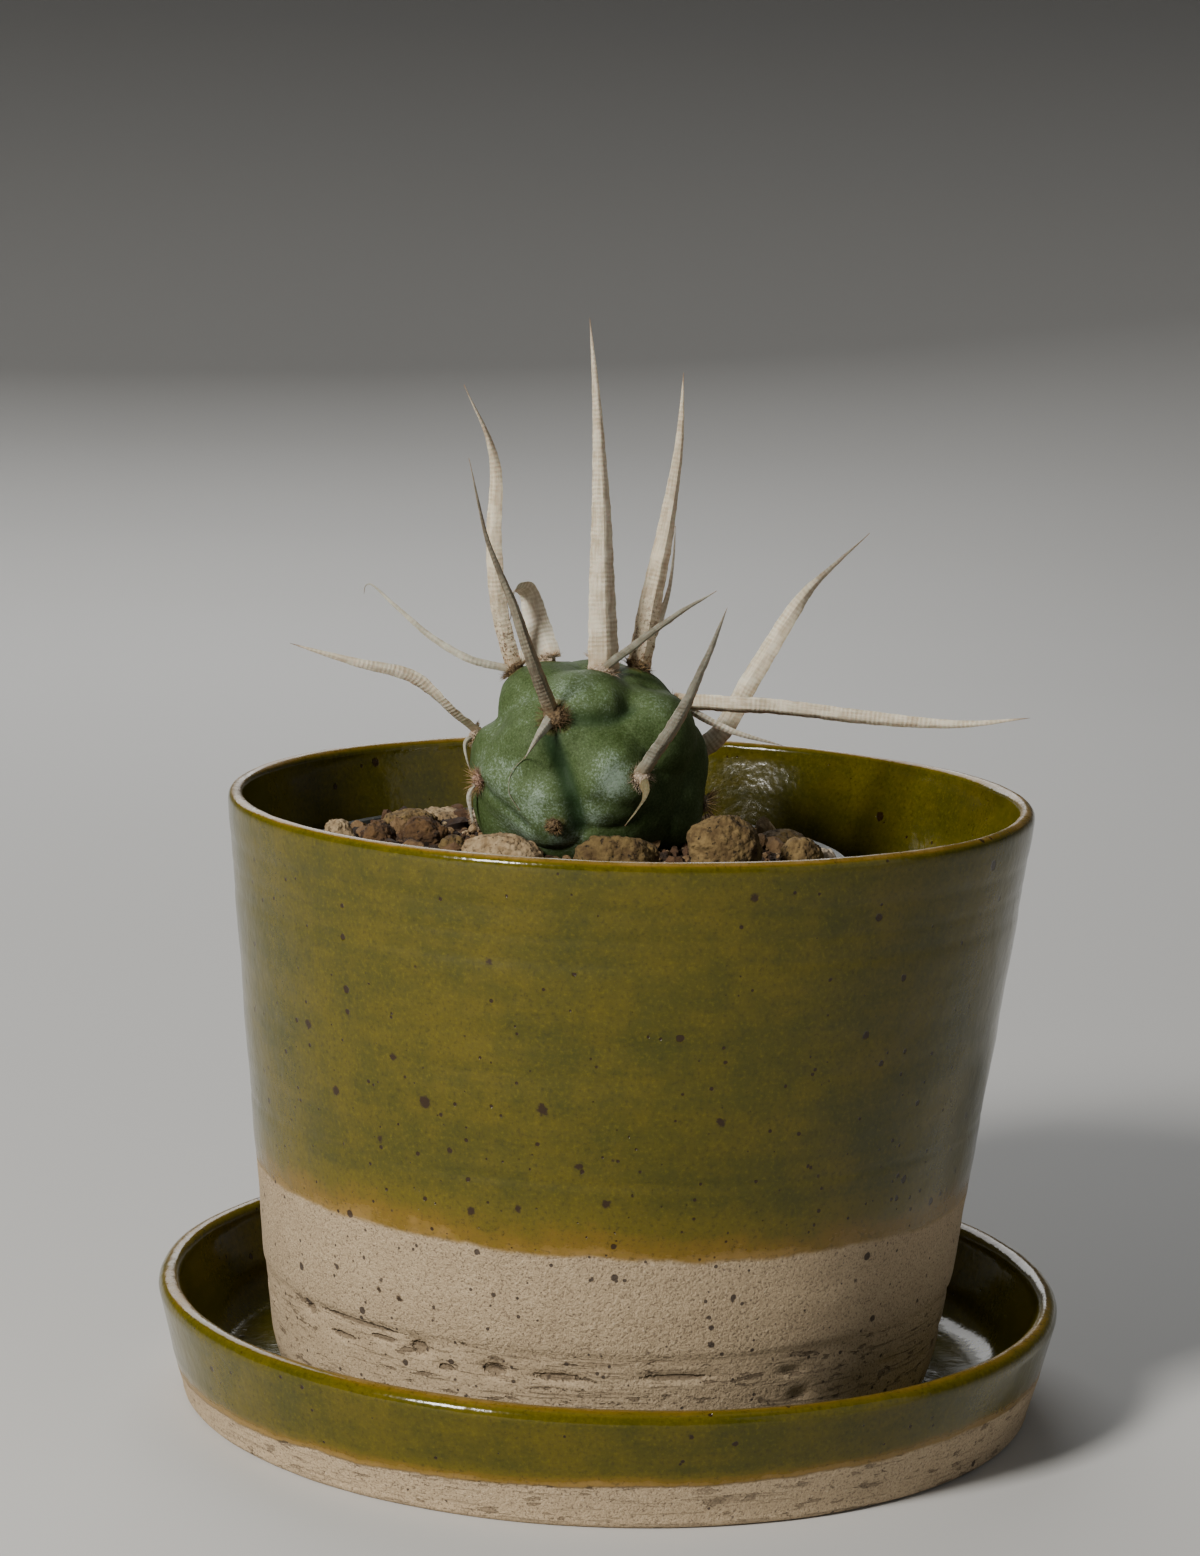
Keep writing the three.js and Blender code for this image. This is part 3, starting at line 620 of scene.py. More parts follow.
def built(name, points, faces, made):
    """A new piece from its points, in metres, its faces and its material."""
    mesh = bpy.data.meshes.new(name)
    mesh.from_pydata(points, [], faces)
    mesh.materials.append(made)
    piece = bpy.data.objects.new(name, mesh)
    bpy.context.collection.objects.link(piece)
    return piece


def crumb_material():
    """Crumbs, each of the tone that its own attribute gives."""
    made, shader, place = material("soil_crumbs", {"Roughness": 0.95})
    tone = cloudy(place, 0.8) * 0.4 + painted(shader, "tone") - 0.2
    colour = mixed(span(tone, 0.0, 0.45), (0.022, 0.012, 0.007), (0.1, 0.05, 0.022))
    colour = mixed(span(tone, 0.45, 0.8), colour, (0.22, 0.135, 0.06))
    colour = mixed(span(tone, 0.8, 1.0), colour, (0.42, 0.31, 0.18))
    surface(shader, colour, cloudy(place, 0.35, 4.0, 0.7) * 0.3)
    return made


soil_radius = liner_inside(SOIL_EDGE - LINER_BASE) - 0.3
soil = turned(
    "potting_mix",
    [(0, LINER_BASE + 0.8), (liner_inside(0.8) - 0.6, LINER_BASE + 0.8)]
    + walk([(liner_inside(0.8) - 0.4, LINER_BASE + 1.2), (soil_radius, SOIL_EDGE - 0.3)], 6)
    + walk([(soil_radius - 0.3, SOIL_EDGE), (0, SOIL_EDGE)], 0.55),
    200,
)
shift(soil, *LINER_CENTRE, 0)
loose = soil.vertex_groups.new(name="loose_top")
for vertex in soil.data.vertices:
    if vertex.co.z > (SOIL_EDGE - 0.1) * MM:
        x, y, _ = vertex.co / MM
        vertex.co.z = soil_top(x, y) * MM
        loose.add([vertex.index], 1, "REPLACE")
lumps(soil, 3.2, 1.5, "loose_top")
lumps(soil, 1.1, 0.7, "loose_top")
smooth(soil, 80)
made, shader, place = material("potting_mix", {"Roughness": 0.95})
damp = mixed(cloudy(place, 2.0, 5.0, 0.65), (0.016, 0.009, 0.005), (0.09, 0.05, 0.025))
surface(shader, damp, cloudy(place, 0.7, 5.0, 0.7) * 0.8)
soil.data.materials.append(made)
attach(soil, "root")
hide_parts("soil")


def crumb_shape(subdivisions):
    """The corners and the sides of one plain crumb."""
    crumb = added("crumb", bpy.ops.mesh.primitive_ico_sphere_add, subdivisions=subdivisions, radius=MM)
    corners = [vertex.co.copy() for vertex in crumb.data.vertices]
    faces = [tuple(face.vertices) for face in crumb.data.polygons]
    bpy.data.objects.remove(crumb)
    return corners, faces


def strew(count, shape, least, spread):
    """Strews crumbs of chance sizes over the soil, clear of the cactus, each jagged in its own way."""
    corners, sides = shape
    placed = 0
    while placed < count:
        out = (soil_radius - 1.2) * math.sqrt(chance.random())
        angle = chance.uniform(0, math.tau)
        x, y = LINER_CENTRE[0] + out * math.cos(angle), LINER_CENTRE[1] + out * math.sin(angle)
        size = least + spread * chance.random() ** 3
        if math.dist((x, y), CACTUS_CENTRE.xy) < CACTUS_CLEAR - 3 - size:
            continue
        middle = Vector((x, y, soil_top(x, y) + 0.3 * size + 0.2)) * MM
        axis = Vector([chance.uniform(-1, 1) for _ in range(3)]).normalized()
        turn = Quaternion(axis, angle * 7)
        squeeze = (1, chance.uniform(0.65, 1), chance.uniform(0.5, 0.9))
        tone = chance.random()
        first = len(points)
        for corner in corners:
            jag = size * chance.uniform(0.75, 1.2)
            points.append(middle + turn @ Vector([jag * a * b for a, b in zip(corner, squeeze)]))
            tones.append(tone)
        faces.extend(tuple(first + i for i in side) for side in sides)
        placed += 1


chance = random.Random(11)
points, faces, tones = [], [], []
strew(COARSE_CRUMBS, crumb_shape(2), 0.7, 1.3)
strew(FINE_CRUMBS, crumb_shape(1), 0.25, 0.5)
crumbs = built("soil_crumbs", points, faces, crumb_material())
paint(crumbs, "tone", tones)
smooth(crumbs, 30)
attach(crumbs, "root")

# The stones: loose pieces of pumice, lava and baked clay, a few millimetres across, bedded in the soil
# round the cactus. Each keeps the form of its solid, and is pitted and crumbly by its kind.
STONE_KINDS = {
    "pale": ((0.38, 0.28, 0.16), (0.22, 0.145, 0.07), 0.4),
    "tan": ((0.145, 0.095, 0.03), (0.062, 0.034, 0.01), 0.7),
    "pumice": ((0.2, 0.132, 0.048), (0.085, 0.05, 0.016), 0.8),
    "lava": ((0.115, 0.06, 0.02), (0.04, 0.018, 0.006), 0.9),
    "grey": ((0.45, 0.38, 0.29), (0.32, 0.25, 0.17), 0.4),
}
STONES = {
    "pale_left": "pale", "crumb_left": "lava", "lava_left": "lava", "lava_mid_left": "tan",
    "flat_pale": "pale", "flat_brown": "tan", "round_right": "pumice", "small_right": "pumice",
    "pale_right": "grey", "ring_1": "tan", "ring_2": "lava", "ring_3": "pale", "ring_4": "pumice",
    "ring_5": "tan", "ring_6": "lava", "ring_7": "pale", "ring_8": "pumice",
}


def solid_copy(cad_node, name):
    """A new piece with the form of a solid, its loose triangles merged."""
    piece = bpy.data.objects.new(name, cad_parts[cad_node].data.copy())
    piece.data.materials.clear()
    bpy.context.collection.objects.link(piece)
    pick(piece)
    bpy.ops.object.mode_set(mode="EDIT")
    weld(0.005)
    bpy.ops.object.mode_set(mode="OBJECT")
    return piece


def rounded_off(piece, levels):
    """Rounds a faceted form off by subdividing it."""
    modifier = piece.modifiers.new("rounded", "SUBSURF")
    modifier.levels = levels
    modifier.render_levels = levels
    pick(piece)
    bpy.ops.object.modifier_apply(modifier=modifier.name)


def stone_material(kind, light, dark, pitting):
    """Porous stone: granular, blotched, with dark pits."""
    made, shader, place = material("stone_" + kind, {"Roughness": 0.95})
    blotch = cloudy(place, 2.2, 5.0, 0.65)
    holes = span(cloudy(place, 0.9, 4.0, 0.6), 0.5 - 0.12 * pitting, 0.3)
    colour = mixed(span(blotch, 0.35, 0.65), dark, light)
    colour = mixed(holes * 0.85, colour, tuple(0.35 * side for side in dark))
    surface(shader, colour, blotch * 0.5 - cells(place, 0.7) * 0.25 - holes * (0.5 * pitting))
    return made


stone_materials = {kind: stone_material(kind, *look) for kind, look in STONE_KINDS.items()}
for name, kind in STONES.items():
    stone = solid_copy("stone_" + name, "gravel_" + name)
    rounded_off(stone, 3)
    lumps(stone, 2.4, 1.2)
    lumps(stone, 0.9, 0.6)
    lumps(stone, 0.35, 0.2)
    smooth(stone, 35)
    stone.data.materials.append(stone_materials[kind])
    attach(stone, "root")
    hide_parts("stone_" + name)

# The cactus segment: one grey-green globe of flesh, its skin raised in low tubercles with creases
# between them, which are darkened with painted shade. A bluish bloom of wax lies on the tubercles, made
# brighter with painted highlight where they face the light, and the skin yellows round each areole.
CACTUS_RADIUS = Vector((15.5, 15.2, 14.8))
CACTUS_BLUNTNESS = 2.4
DENTS = [(-90, 30, 8, 1.7), (72, 54, 10, 0.9)]
TUBERCLE_RISE = 1.7
TUBERCLE_SPREAD = 23
TUBERCLE_BELOW_AREOLE = 9
CREASE_SHARPNESS = 3
CREASE_DEPTH = 0.4
SKIN_REACH = 17.5
# Lines on the skin, each by its places on the globe, how deep it sinks the skin, raising a ridge where that
# is below 0, its half width in millimetres, and how much painted crease shade it lays along it.
SKIN_LINES = [
    ([(-22, 27), (-19, 20), (-15, 12), (-11.5, 5), (-8.5, -3), (-6, -11), (-4, -22)], 0.9, 1.8, 1),
    ([(-15, 35), (-6, 35.5), (3, 36), (12, 37), (20, 39), (30, 43)], 0.8, 1.6, 0.7),
    ([(-62, -4), (-55, -7.5), (-47, -12), (-40, -16.5), (-33, -21)], 0.5, 1.0, 0.55),
    ([(-58, 1.5), (-45, -1), (-36, -3.5), (-23, -4), (-11, -4)], -0.4, 1.4, 0),
    ([(1, 0), (5, 8), (11, 15), (18, 18)], -0.35, 1.6, 0),
    ([(30, 43), (36, 36), (38, 26), (36, 16)], 0.4, 1.8, 0.3),
    ([(-30, 48), (-12, 43), (5, 43), (14, 46)], -0.45, 1.8, 0),
    ([(-80, 27), (-62, 26), (-48, 30)], 0.4, 1.8, 0.25),
    ([(2, -6), (14, -8), (27, -10)], 0.3, 1.5, 0.3),
]
# Pale bloom by bearing, elevation, spread in degrees and strength: partly the wax bloom on the tubercles,
# partly painted highlight where the upper left light catches bulges and ridges.
BLOOM_AND_HIGHLIGHT_SPOTS = [
    (-16, 52, 20, 0.75), (8, 46, 12, 0.5), (12, 5, 13, 1.45), (3, -12, 13, 0.95), (-46, 0, 18, 0.9),
    (-27, -10, 17, 1), (-64, 4, 14, 0.8), (-38, -26, 18, 1.1), (-12, -28, 14, 1), (42, 43, 11, 0.6),
    (-72, 24, 18, 0.55), (-48, 36, 16, 0.55),
]
AREOLES = {
    "front_left": ((-22, 35), (-37, 22, 1), 2.6),
    "front_right": ((27, 6), (13, 4, 1), 2.1),
    "left_high": ((-90, 16), (-84, 5, 1), 1.9),
    "left_mid": ((-67, -3), (-54, -1, 1), 1.9),
    "left_low": ((-83, -24), (-80, -26, 1), 1.6),
    "front_low": ((-16, -19), (-25, -12, 1), 1.4),
    "crown_front": ((22, 74), (-7, 56, 1), 2.4),
    "crown_right": ((106, 66), (98, 62, 0.5), 2.4),
    "crown_left": ((-98, 51), (-85, 54, 1.1), 2.3),
    "crown_back_left": ((-125, 62), None, 2.1),
    "right_high": ((96, 40), (60, 33, 1.15), 1.6),
    "right_low": ((86, -13), None, 1.6),
    "back_crown": ((172, 66), None, 2.2),
    "back_right": ((146, 34), None, 2.2),
    "back_left": ((-152, 32), None, 2.3),
    "side_right": ((124, 2), (98, 6, 1), 1.9),
    "back_mid": ((176, 2), None, 2.0),
    "side_left": ((-122, 2), None, 1.9),
    "back_low_right": ((150, -26), None, 1.6),
    "back_low_left": ((-150, -25), None, 1.6),
}


def direction(bearing, elevation):
    """A direction from the globe's middle, by bearing from the front and elevation, in degrees."""
    turn, rise = math.radians(bearing), math.radians(elevation)
    return Vector((math.sin(turn) * math.cos(rise), -math.cos(turn) * math.cos(rise), math.sin(rise)))


def tubercle(at, bulge):
    """The way to one tubercle's middle and its rise: its own, or else a little below its areole."""
    bearing, elevation, rise = bulge or (at[0], at[1] - TUBERCLE_BELOW_AREOLE, 1)
    return direction(bearing, elevation), rise


tubercles = {name: tubercle(at, bulge) for name, (at, bulge, _) in AREOLES.items()}


def swell(along, middle, rise):
    """How strongly one tubercle raises the skin along a direction, 1 at its middle."""
    apart = math.degrees(along.angle(middle)) / TUBERCLE_SPREAD
    return rise - apart * apart


def near(along, middle, spread):
    """1 in one direction, fading to nothing over a spread in degrees."""
    return math.exp(-((math.degrees(along.angle(middle)) / spread) ** 2))


def off_line(along, line):
    """How far a place on the globe is from a line on it, in millimetres."""
    nearest = math.inf
    for start, end in zip(line, line[1:]):
        way = end - start
        share = min(max((along - start).dot(way) / way.length_squared, 0), 1)
        nearest = min(nearest, (along - start - way * share).length)
    return nearest * SKIN_REACH


skin_lines = [([direction(*place) for place in line], *rest) for line, *rest in SKIN_LINES]
dents = [(direction(bearing, elevation), *rest) for bearing, elevation, *rest in DENTS]
blooms_and_highlights = [(direction(bearing, elevation), *rest) for bearing, elevation, *rest in BLOOM_AND_HIGHLIGHT_SPOTS]
blooms_and_highlights += [(tubercles[name][0], 12, 0.8) for name, (_, bulge, _) in AREOLES.items() if not bulge]


def skin(along):
    """The globe's radius along a direction, and how much painted shade darkens the skin there, most in its
    creases.
    """
    level = math.hypot(along.x / CACTUS_RADIUS.x, along.y / CACTUS_RADIUS.y)
    upright = abs(along.z) / CACTUS_RADIUS.z
    blunt = (level**CACTUS_BLUNTNESS + upright**CACTUS_BLUNTNESS) ** (-1 / CACTUS_BLUNTNESS)
    swells = sorted((swell(along, *bump) for bump in tubercles.values()), reverse=True)
    raised = math.log(sum(math.exp(CREASE_SHARPNESS * s) for s in swells)) / CREASE_SHARPNESS
    # How far into the crease between the two highest tubercles: it sinks the skin, and the skin's colour is
    # darkened there as painted shade.
    fold = 0.3 * math.exp(-(((swells[0] - swells[1]) / 0.12) ** 2)) * (1 if along.y > 0 else 0.3)
    sunk = 0.4 * fold
    sunk += sum(depth * near(along, middle, spread) for middle, spread, depth in dents)
    if along.y < 0.1:
        for line, depth, half_width, crease_shade in skin_lines:
            close = math.exp(-((off_line(along, line) / half_width) ** 2))
            sunk += depth * close
            # Along the crease lines the skin also gets painted shade.
            fold = max(fold, crease_shade * close)
    return blunt + TUBERCLE_RISE * max(raised, -CREASE_DEPTH) - sunk, fold


def seat(name):
    """Where an areole sits on the globe, and its outward direction."""
    out = direction(*AREOLES[name][0])
    return CACTUS_CENTRE + out * skin(out)[0], out


cactus = added("cactus_flesh", bpy.ops.mesh.primitive_ico_sphere_add, subdivisions=7, radius=1)
seats = {name: seat(name) for name in AREOLES}
bloom_and_highlight_values, crease_shade_values, halo_values = [], [], []
for vertex in cactus.data.vertices:
    along = vertex.co.normalized()
    radius, fold = skin(along)
    place = CACTUS_CENTRE + along * radius
    nearest = min((place - spot).length - 0.8 * AREOLES[name][2] for name, (spot, _) in seats.items())
    vertex.co = place * MM
    bloom_and_highlight_values.append(max(strength * near(along, middle, spread) for middle, spread, strength in blooms_and_highlights))
    crease_shade_values.append(fold)
    halo_values.append(math.exp(-((max(nearest, 0) / 1.1) ** 2)))
# The pale bloom, partly wax and partly painted highlight, by point.
paint(cactus, "bloom", bloom_and_highlight_values)
# The painted crease shade, kept as the skin's fold attribute.
paint(cactus, "fold", crease_shade_values)
paint(cactus, "halo", halo_values)
lumps(cactus, 8, 0.45)
lumps(cactus, 2.4, 0.14)
smooth(cactus, 80)

flesh = {
    "Roughness": 0.72, "Specular IOR Level": 0.3,
    "Subsurface Weight": 0.1, "Subsurface Scale": 0.003, "Subsurface Radius": (0.5, 1.0, 0.3),
}
made, shader, place = material("waxy_skin", flesh)
bloom, fold, halo = (painted(shader, name) for name in ("bloom", "fold", "halo"))
patchy = cloudy(place, 3.6, 5.0, 0.65)
dust = cloudy(place, 0.34, 2.0, 0.8)
# The pale bluish green is partly the wax bloom and partly painted highlight on the lit bulges and ridges.
wax_and_highlight = patchy + bloom * 0.6 + dust * 1.7 - 1.2
green = mixed(span(wax_and_highlight, -0.2, 0.5), (0.028, 0.05, 0.006), (0.068, 0.104, 0.034))
green = mixed(span(wax_and_highlight, 0.4, 1.15), green, (0.24, 0.315, 0.24))
# Painted shade: the skin darkened to deep green where its creases are.
green = mixed(span(fold, 0.15, 1.0, 0.0, 0.85), green, (0.006, 0.028, 0.005))
yellowed = halo * (patchy * 1.6 - 0.25)
green = mixed(span(yellowed, 0.35, 0.85, 0.0, 0.45), green, (0.22, 0.15, 0.03))
surface(shader, green, cloudy(place, 1.4, 4.0, 0.6) * 0.1 + dust * 0.07)
cactus.data.materials.append(made)
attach(cactus, "root")
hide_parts("cactus_body")

# The areoles: each is a small cushion of wool set in the skin, white to rusty, with a ring of short
# stiff barbed bristles that stand out of it. Most also carry the long flat papery spines.
AREOLE_LOOKS = {
    "front_left": ("rusty", "dark", 90, 1.9),
    "front_right": ("pale", "gold", 26, 0.9),
    "left_high": ("pale", "gold", 30, 1.2),
    "left_mid": ("rosy", "gold", 60, 2.4),
    "left_low": ("pale", "gold", 40, 1.4),
    "front_low": ("rusty", "gold", 45, 0.9),
    "crown_front": ("pale", "gold", 50, 1.4),
    "crown_right": ("rusty", "gold", 90, 1.8),
    "crown_left": ("rusty", "dark", 70, 1.5),
    "crown_back_left": ("pale", "gold", 50, 1.4),
    "right_high": ("rosy", "gold", 60, 1.5),
    "right_low": ("pale", "gold", 70, 3.0),
    "back_crown": ("pale", "gold", 60, 1.6),
    "back_right": ("rusty", "gold", 70, 1.7),
    "back_left": ("rosy", "gold", 70, 1.6),
    "side_right": ("pale", "gold", 60, 1.9),
    "back_mid": ("rosy", "gold", 60, 1.8),
    "side_left": ("rusty", "dark", 60, 1.8),
    "back_low_right": ("rusty", "gold", 60, 1.6),
    "back_low_left": ("pale", "gold", 60, 1.6),
}
WOOL_COLOURS = {
    "pale": ((0.52, 0.43, 0.33), (0.3, 0.21, 0.13)),
    "rosy": ((0.42, 0.28, 0.21), (0.22, 0.12, 0.07)),
    "rusty": ((0.18, 0.118, 0.052), (0.06, 0.035, 0.015)),
}
BRISTLE_COLOURS = {
    "gold": ((0.36, 0.24, 0.1), (0.17, 0.095, 0.03)),
    "dark": ((0.2, 0.12, 0.045), (0.06, 0.03, 0.013)),
}
WOOL_FLATNESS = 0.5
WOOL_CORE = 0.6
WOOL_STRANDS = 170
WOOL_RADIUS = 0.04
BRISTLE_RADIUS = 0.055


def fibre_material(name, light, dark):
    """Wool or bristles, lighter and darker strand by strand."""
    made, shader, place = material(name, {"Roughness": 0.8})
    strands = span(cloudy(place, 0.3, 3.0, 0.75), 0.35, 0.65)
    surface(shader, mixed(strands, dark, light), cloudy(place, 0.12, 2.0) * 0.12)
    return made


wools = {name: fibre_material("wool_" + name, *pair) for name, pair in WOOL_COLOURS.items()}
bristle_materials = {name: fibre_material("bristle_" + name, *pair) for name, pair in BRISTLE_COLOURS.items()}


def add_strand(points, faces, root, tip, radius, bow):
    """Adds one three-sided fibre, bowed sideways in its middle and pointed at its tip."""
    towards = (tip - root).normalized()
    side = towards.orthogonal().normalized()
    middle = root.lerp(tip, 0.45) + bow
    first = len(points)
    for i in range(3):
        around = Quaternion(towards, i * math.tau / 3) @ side
        points.append((root + around * radius * 0.8) * MM)
        points.append((middle + around * radius) * MM)
    points.append(tip * MM)
    for i in range(3):
        j = (i + 1) % 3
        low, high, next_low, next_high = (first + 2 * i, first + 2 * i + 1, first + 2 * j, first + 2 * j + 1)
        faces += [(low, next_low, next_high, high), (high, next_high, first + 6)]
    faces.append((first + 4, first + 2, first))


def brush(name, made, count, spread, length, radius, curl):
    """Fibres of one kind that stand out of an areole at chance, as one piece."""
    spot, out = seats[name]
    turn = random.Random(name + made.name)
    points, faces = [], []
    for _ in range(count):
        lean = math.radians(spread) * math.sqrt(turn.random())
        away = out.orthogonal().normalized()
        away.rotate(Quaternion(out, turn.uniform(0, math.tau)))
        towards = out * math.cos(lean) + away * math.sin(lean)
        root = spot + away * AREOLES[name][2] * 0.55 * math.sin(lean) + out * 0.1
        bow = Vector([turn.uniform(-curl, curl) for _ in range(3)])
        tip = root + towards * length * turn.uniform(0.6, 1.15) - bow
        add_strand(points, faces, root, tip, radius, bow)
    return built(name, points, faces, made)


def areole_tuft(name):
    """One areole's cushion with its wool and its bristles, as one piece set in the skin."""
    wool, colour, count, length = AREOLE_LOOKS[name]
    spot, out = seats[name]
    size = AREOLES[name][2]
    tuft = added("core_" + name, bpy.ops.mesh.primitive_ico_sphere_add, subdivisions=5, radius=1)
    upright = out.to_track_quat("Z", "Y").to_matrix().to_4x4()
    core = WOOL_CORE * size
    shape = Matrix.Diagonal((core, core, WOOL_FLATNESS * size, 1))
    tuft.data.transform(Matrix.Scale(MM, 4) @ Matrix.Translation(spot) @ upright @ shape)
    lumps(tuft, 1.2, 0.7)
    lumps(tuft, 0.3, 0.35)
    tuft.data.materials.append(wools[wool])
    smooth(tuft, 80)
    woolly = brush(name, wools[wool], WOOL_STRANDS, 88, 0.62 * size, WOOL_RADIUS, 0.3)
    bristly = brush(name, bristle_materials[colour], count, 72, length, BRISTLE_RADIUS, 0.06)
    woolly.select_set(True)
    bristly.select_set(True)
    bpy.ops.object.join()
    tuft.name = "areole_tuft_" + name
    return tuft


for name in AREOLES:
    tuft = areole_tuft(name)
    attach(tuft, "root")
    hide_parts("areole_" + name)

# The papery spines: long flat blades, flexible and dry as straw, folded lengthwise and often twisted,
# with fine cross ridges. They are cream to grey, with a brown point, and some are gilt along an edge.
SPINE_TIP = 0.4
SPINE_NARROWING = 2.2
NO_TWIST = (0, 0.5)
TWIST_REACH = 0.15
SPINE_SIDES = 28
SPINE_ROWS = 130


def on_skin(bearing, elevation, lift):
    """A place a little above the skin."""
    out = direction(bearing, elevation)
    return CACTUS_CENTRE + out * (skin(out)[0] + lift)


# Each spine's areole and name, the places it passes, its width and thickness, the turn of its flat side
# from the front, its twist and how far up that is, its paper, where it is folded and how steeply, how
# gilt its edge is, and its narrowing, which is near 1 where it tapers all the way.
SPINES = [
    ("front_left", "up", [(-14, -16.4, 109.4), (-16.7, -19, 117.2), (-20.1, -22, 125.6), (-22.9, -25, 136.9)],
     2.2, 1.3, 10, (25, 0.5), "tan", 0.25, 0.9, 0.7, 1.3),
    ("front_left", "drop", [(-12.6, -15.4, 97.6), (-14.3, -17.2, 94.9)], 1.8, 0.8, -20, NO_TWIST,
     "grey", 0.2, 0.7, 0, 1.3),
    ("front_left", "thread",
     [(-13.6, -16.5, 96), on_skin(-33, 12, 0.3), on_skin(-39.6, 5, 0.15), on_skin(-40, -5, 0.1),
      on_skin(-34, -13, 0.15)],
     0.09, 0.5, 0, NO_TWIST, "tan", 0, 0, 0),
    ("front_right", "up", [(7, -19, 101.7), (9.7, -22, 108.6), (12.7, -25, 117.9)],
     2.7, 1, 20, (15, 0.5), "grey", 0.15, 0.9, 0.8),
    ("front_right", "down", [(2.6, -16.2, 90.6), (1.4, -17.8, 88.4), (-0.1, -18.6, 86.2)],
     1.5, 0.8, 0, (20, 0.5), "olive", 0.1, 0.8, 0.3, 1.4),
    ("left_high", "long", [(-26.9, -3, 100.2), (-30.7, -5, 103.9), (-39.4, -8, 106.4), (-47.8, -10, 108.9)],
     2.1, 0.8, -68, (68, 0.38), "cream", 0.2, 0.8, 0),
    ("left_high", "sliver", [(-23.2, 0.2, 94.2), (-22.9, -1.2, 92.2), (-22.4, -2, 90.6)],
     0.7, 0.8, 0, NO_TWIST, "grey", 0, 0.3, 0),
    ("left_mid", "strip", [(-22.3, -4.6, 87.4), (-22, -4.2, 84.9), (-21.6, -4, 83.2)],
     0.8, 0.8, 0, NO_TWIST, "grey", 0, 0.4, 0),
    ("crown_front", "tall",
     [(-4.6, -1.8, 118.4), (-5.1, -1.6, 129.7), (-6.1, -1.2, 142.4), (-7.6, -1, 155.2)],
     4.4, 1, 0, (8, 0.5), "cream", 0.35, 1.3, 0, 1.2),
    ("crown_front", "slant", [(1.1, -7, 110.3), (6.5, -11, 115.2), (11.4, -15, 119)],
     2, 0.9, 30, NO_TWIST, "grey", 0.1, 0.8, 0.2),
    ("crown_right", "tall", [(2.3, 4.5, 115.1), (4.1, 5, 125.1), (5.6, 5.5, 136.6), (5.9, 6, 147.6)],
     3.2, 1, -15, (20, 0.5), "speckled", 0.45, 1.3, 0.3, 1.7),
    ("crown_right", "behind", [(4.4, 8, 112.9), (5.5, 10, 118.8), (5.6, 12, 125.1)],
     2, 0.8, 30, (20, 0.5), "cream", 0.2, 0.8, 0),
    ("crown_left", "tall", [(-19, 2, 113.2), (-20.1, 1, 123.2), (-20.4, 1.5, 135), (-25.1, 3, 144.9)],
     2.4, 0.9, 5, (55, 0.72), "speckled", -0.35, 0.9, 0, 3),
    ("crown_left", "thin",
     [(-23.1, 3, 105.8), (-29, 6, 108.5), (-34.3, 8, 112.5), (-38.1, 9, 115.4), (-38.7, 9.1, 115.1),
      (-38.9, 9.1, 113.9)],
     1.1, 0.8, 0, NO_TWIST, "grey", 0, 0.5, 0),
    ("crown_back_left", "fold",
     [(-14.2, 9.5, 111.4), (-15.4, 9, 115.2), (-17.1, 6.2, 115.6), (-17.5, 4.4, 111.6)],
     3.8, 0.8, -10, (10, 0.5), "white", 0.35, 0.6, 0),
    ("right_high", "flat",
     [(15.6, -1.5, 101.1), (20.7, -2, 101.1), (31.9, -3.5, 100.5), (46.6, -5, 100.2), (56.4, -6, 101.6)],
     2.8, 0.9, 10, (-15, 0.5), "cream", 0.35, 1.2, 0),
    ("right_high", "short", [(14, 3.4, 97), (22.3, 6, 94.5)], 1.2, 0.8, 0, NO_TWIST, "white", 0, 0.5, 0),
    ("side_right", "twisted", [(12.8, 9.8, 94.8), (17.5, 10.5, 103.4), (24.9, 13, 115.5), (33.9, 16, 124.7)],
     2.9, 0.9, 0, (65, 0.68), "cream", -0.3, 1.1, 0.6, 3),
    ("back_crown", "back", [(-4.6, 13, 107.2), (-4.5, 22, 105.2), (-4, 32, 100.4)],
     2.8, 0.9, 0, (25, 0.5), "cream", 0.3, 0.9, 0),
    ("back_right", "back", [(4.6, 22, 98.6), (5.4, 31, 98.2), (5.2, 40, 95.8)],
     3, 0.9, 60, (30, 0.5), "speckled", 0.2, 0.9, 0),
    ("back_right", "short", [(5.4, 22.6, 93.6), (6.6, 26, 91)], 1.3, 0.8, 0, NO_TWIST, "white", 0.1, 0.7, 0),
    ("back_left", "back", [(-14.5, 22, 101.2), (-16.8, 31, 102.8), (-18, 41, 100.2)],
     2.9, 0.9, -60, (30, 0.5), "cream", -0.2, 0.9, 0),
    ("back_left", "short", [(-17, 20.4, 96), (-18.6, 24, 93)],
     1.5, 0.8, -20, (20, 0.5), "golden", 0.2, 0.8, 0.6),
    ("back_mid", "back", [(-4.6, 23.6, 96), (-3, 30, 100), (-1.6, 37, 101.6)],
     2.6, 0.9, 0, (25, 0.5), "speckled", 0.3, 0.9, 0),
]
# Each paper's light and dark colour, its brown flecking near the root, and how strongly its cross ridges are
# banded, partly as colour and partly as painted shade in their hollows.
PAPER_COLOURS = {
    "white": ((0.75, 0.7, 0.58), (0.5, 0.43, 0.31), 0, 0.075),
    "cream": ((0.71, 0.64, 0.5), (0.45, 0.37, 0.25), 0, 0.045),
    "speckled": ((0.66, 0.58, 0.43), (0.41, 0.33, 0.22), 1, 0.035),
    "grey": ((0.45, 0.43, 0.34), (0.27, 0.245, 0.18), 0, 0.015),
    "tan": ((0.32, 0.285, 0.205), (0.165, 0.135, 0.09), 0.7, 0.01),
    "golden": ((0.42, 0.31, 0.13), (0.25, 0.16, 0.055), 0, 0.02),
    "olive": ((0.19, 0.16, 0.08), (0.09, 0.072, 0.032), 0, 0.01),
}


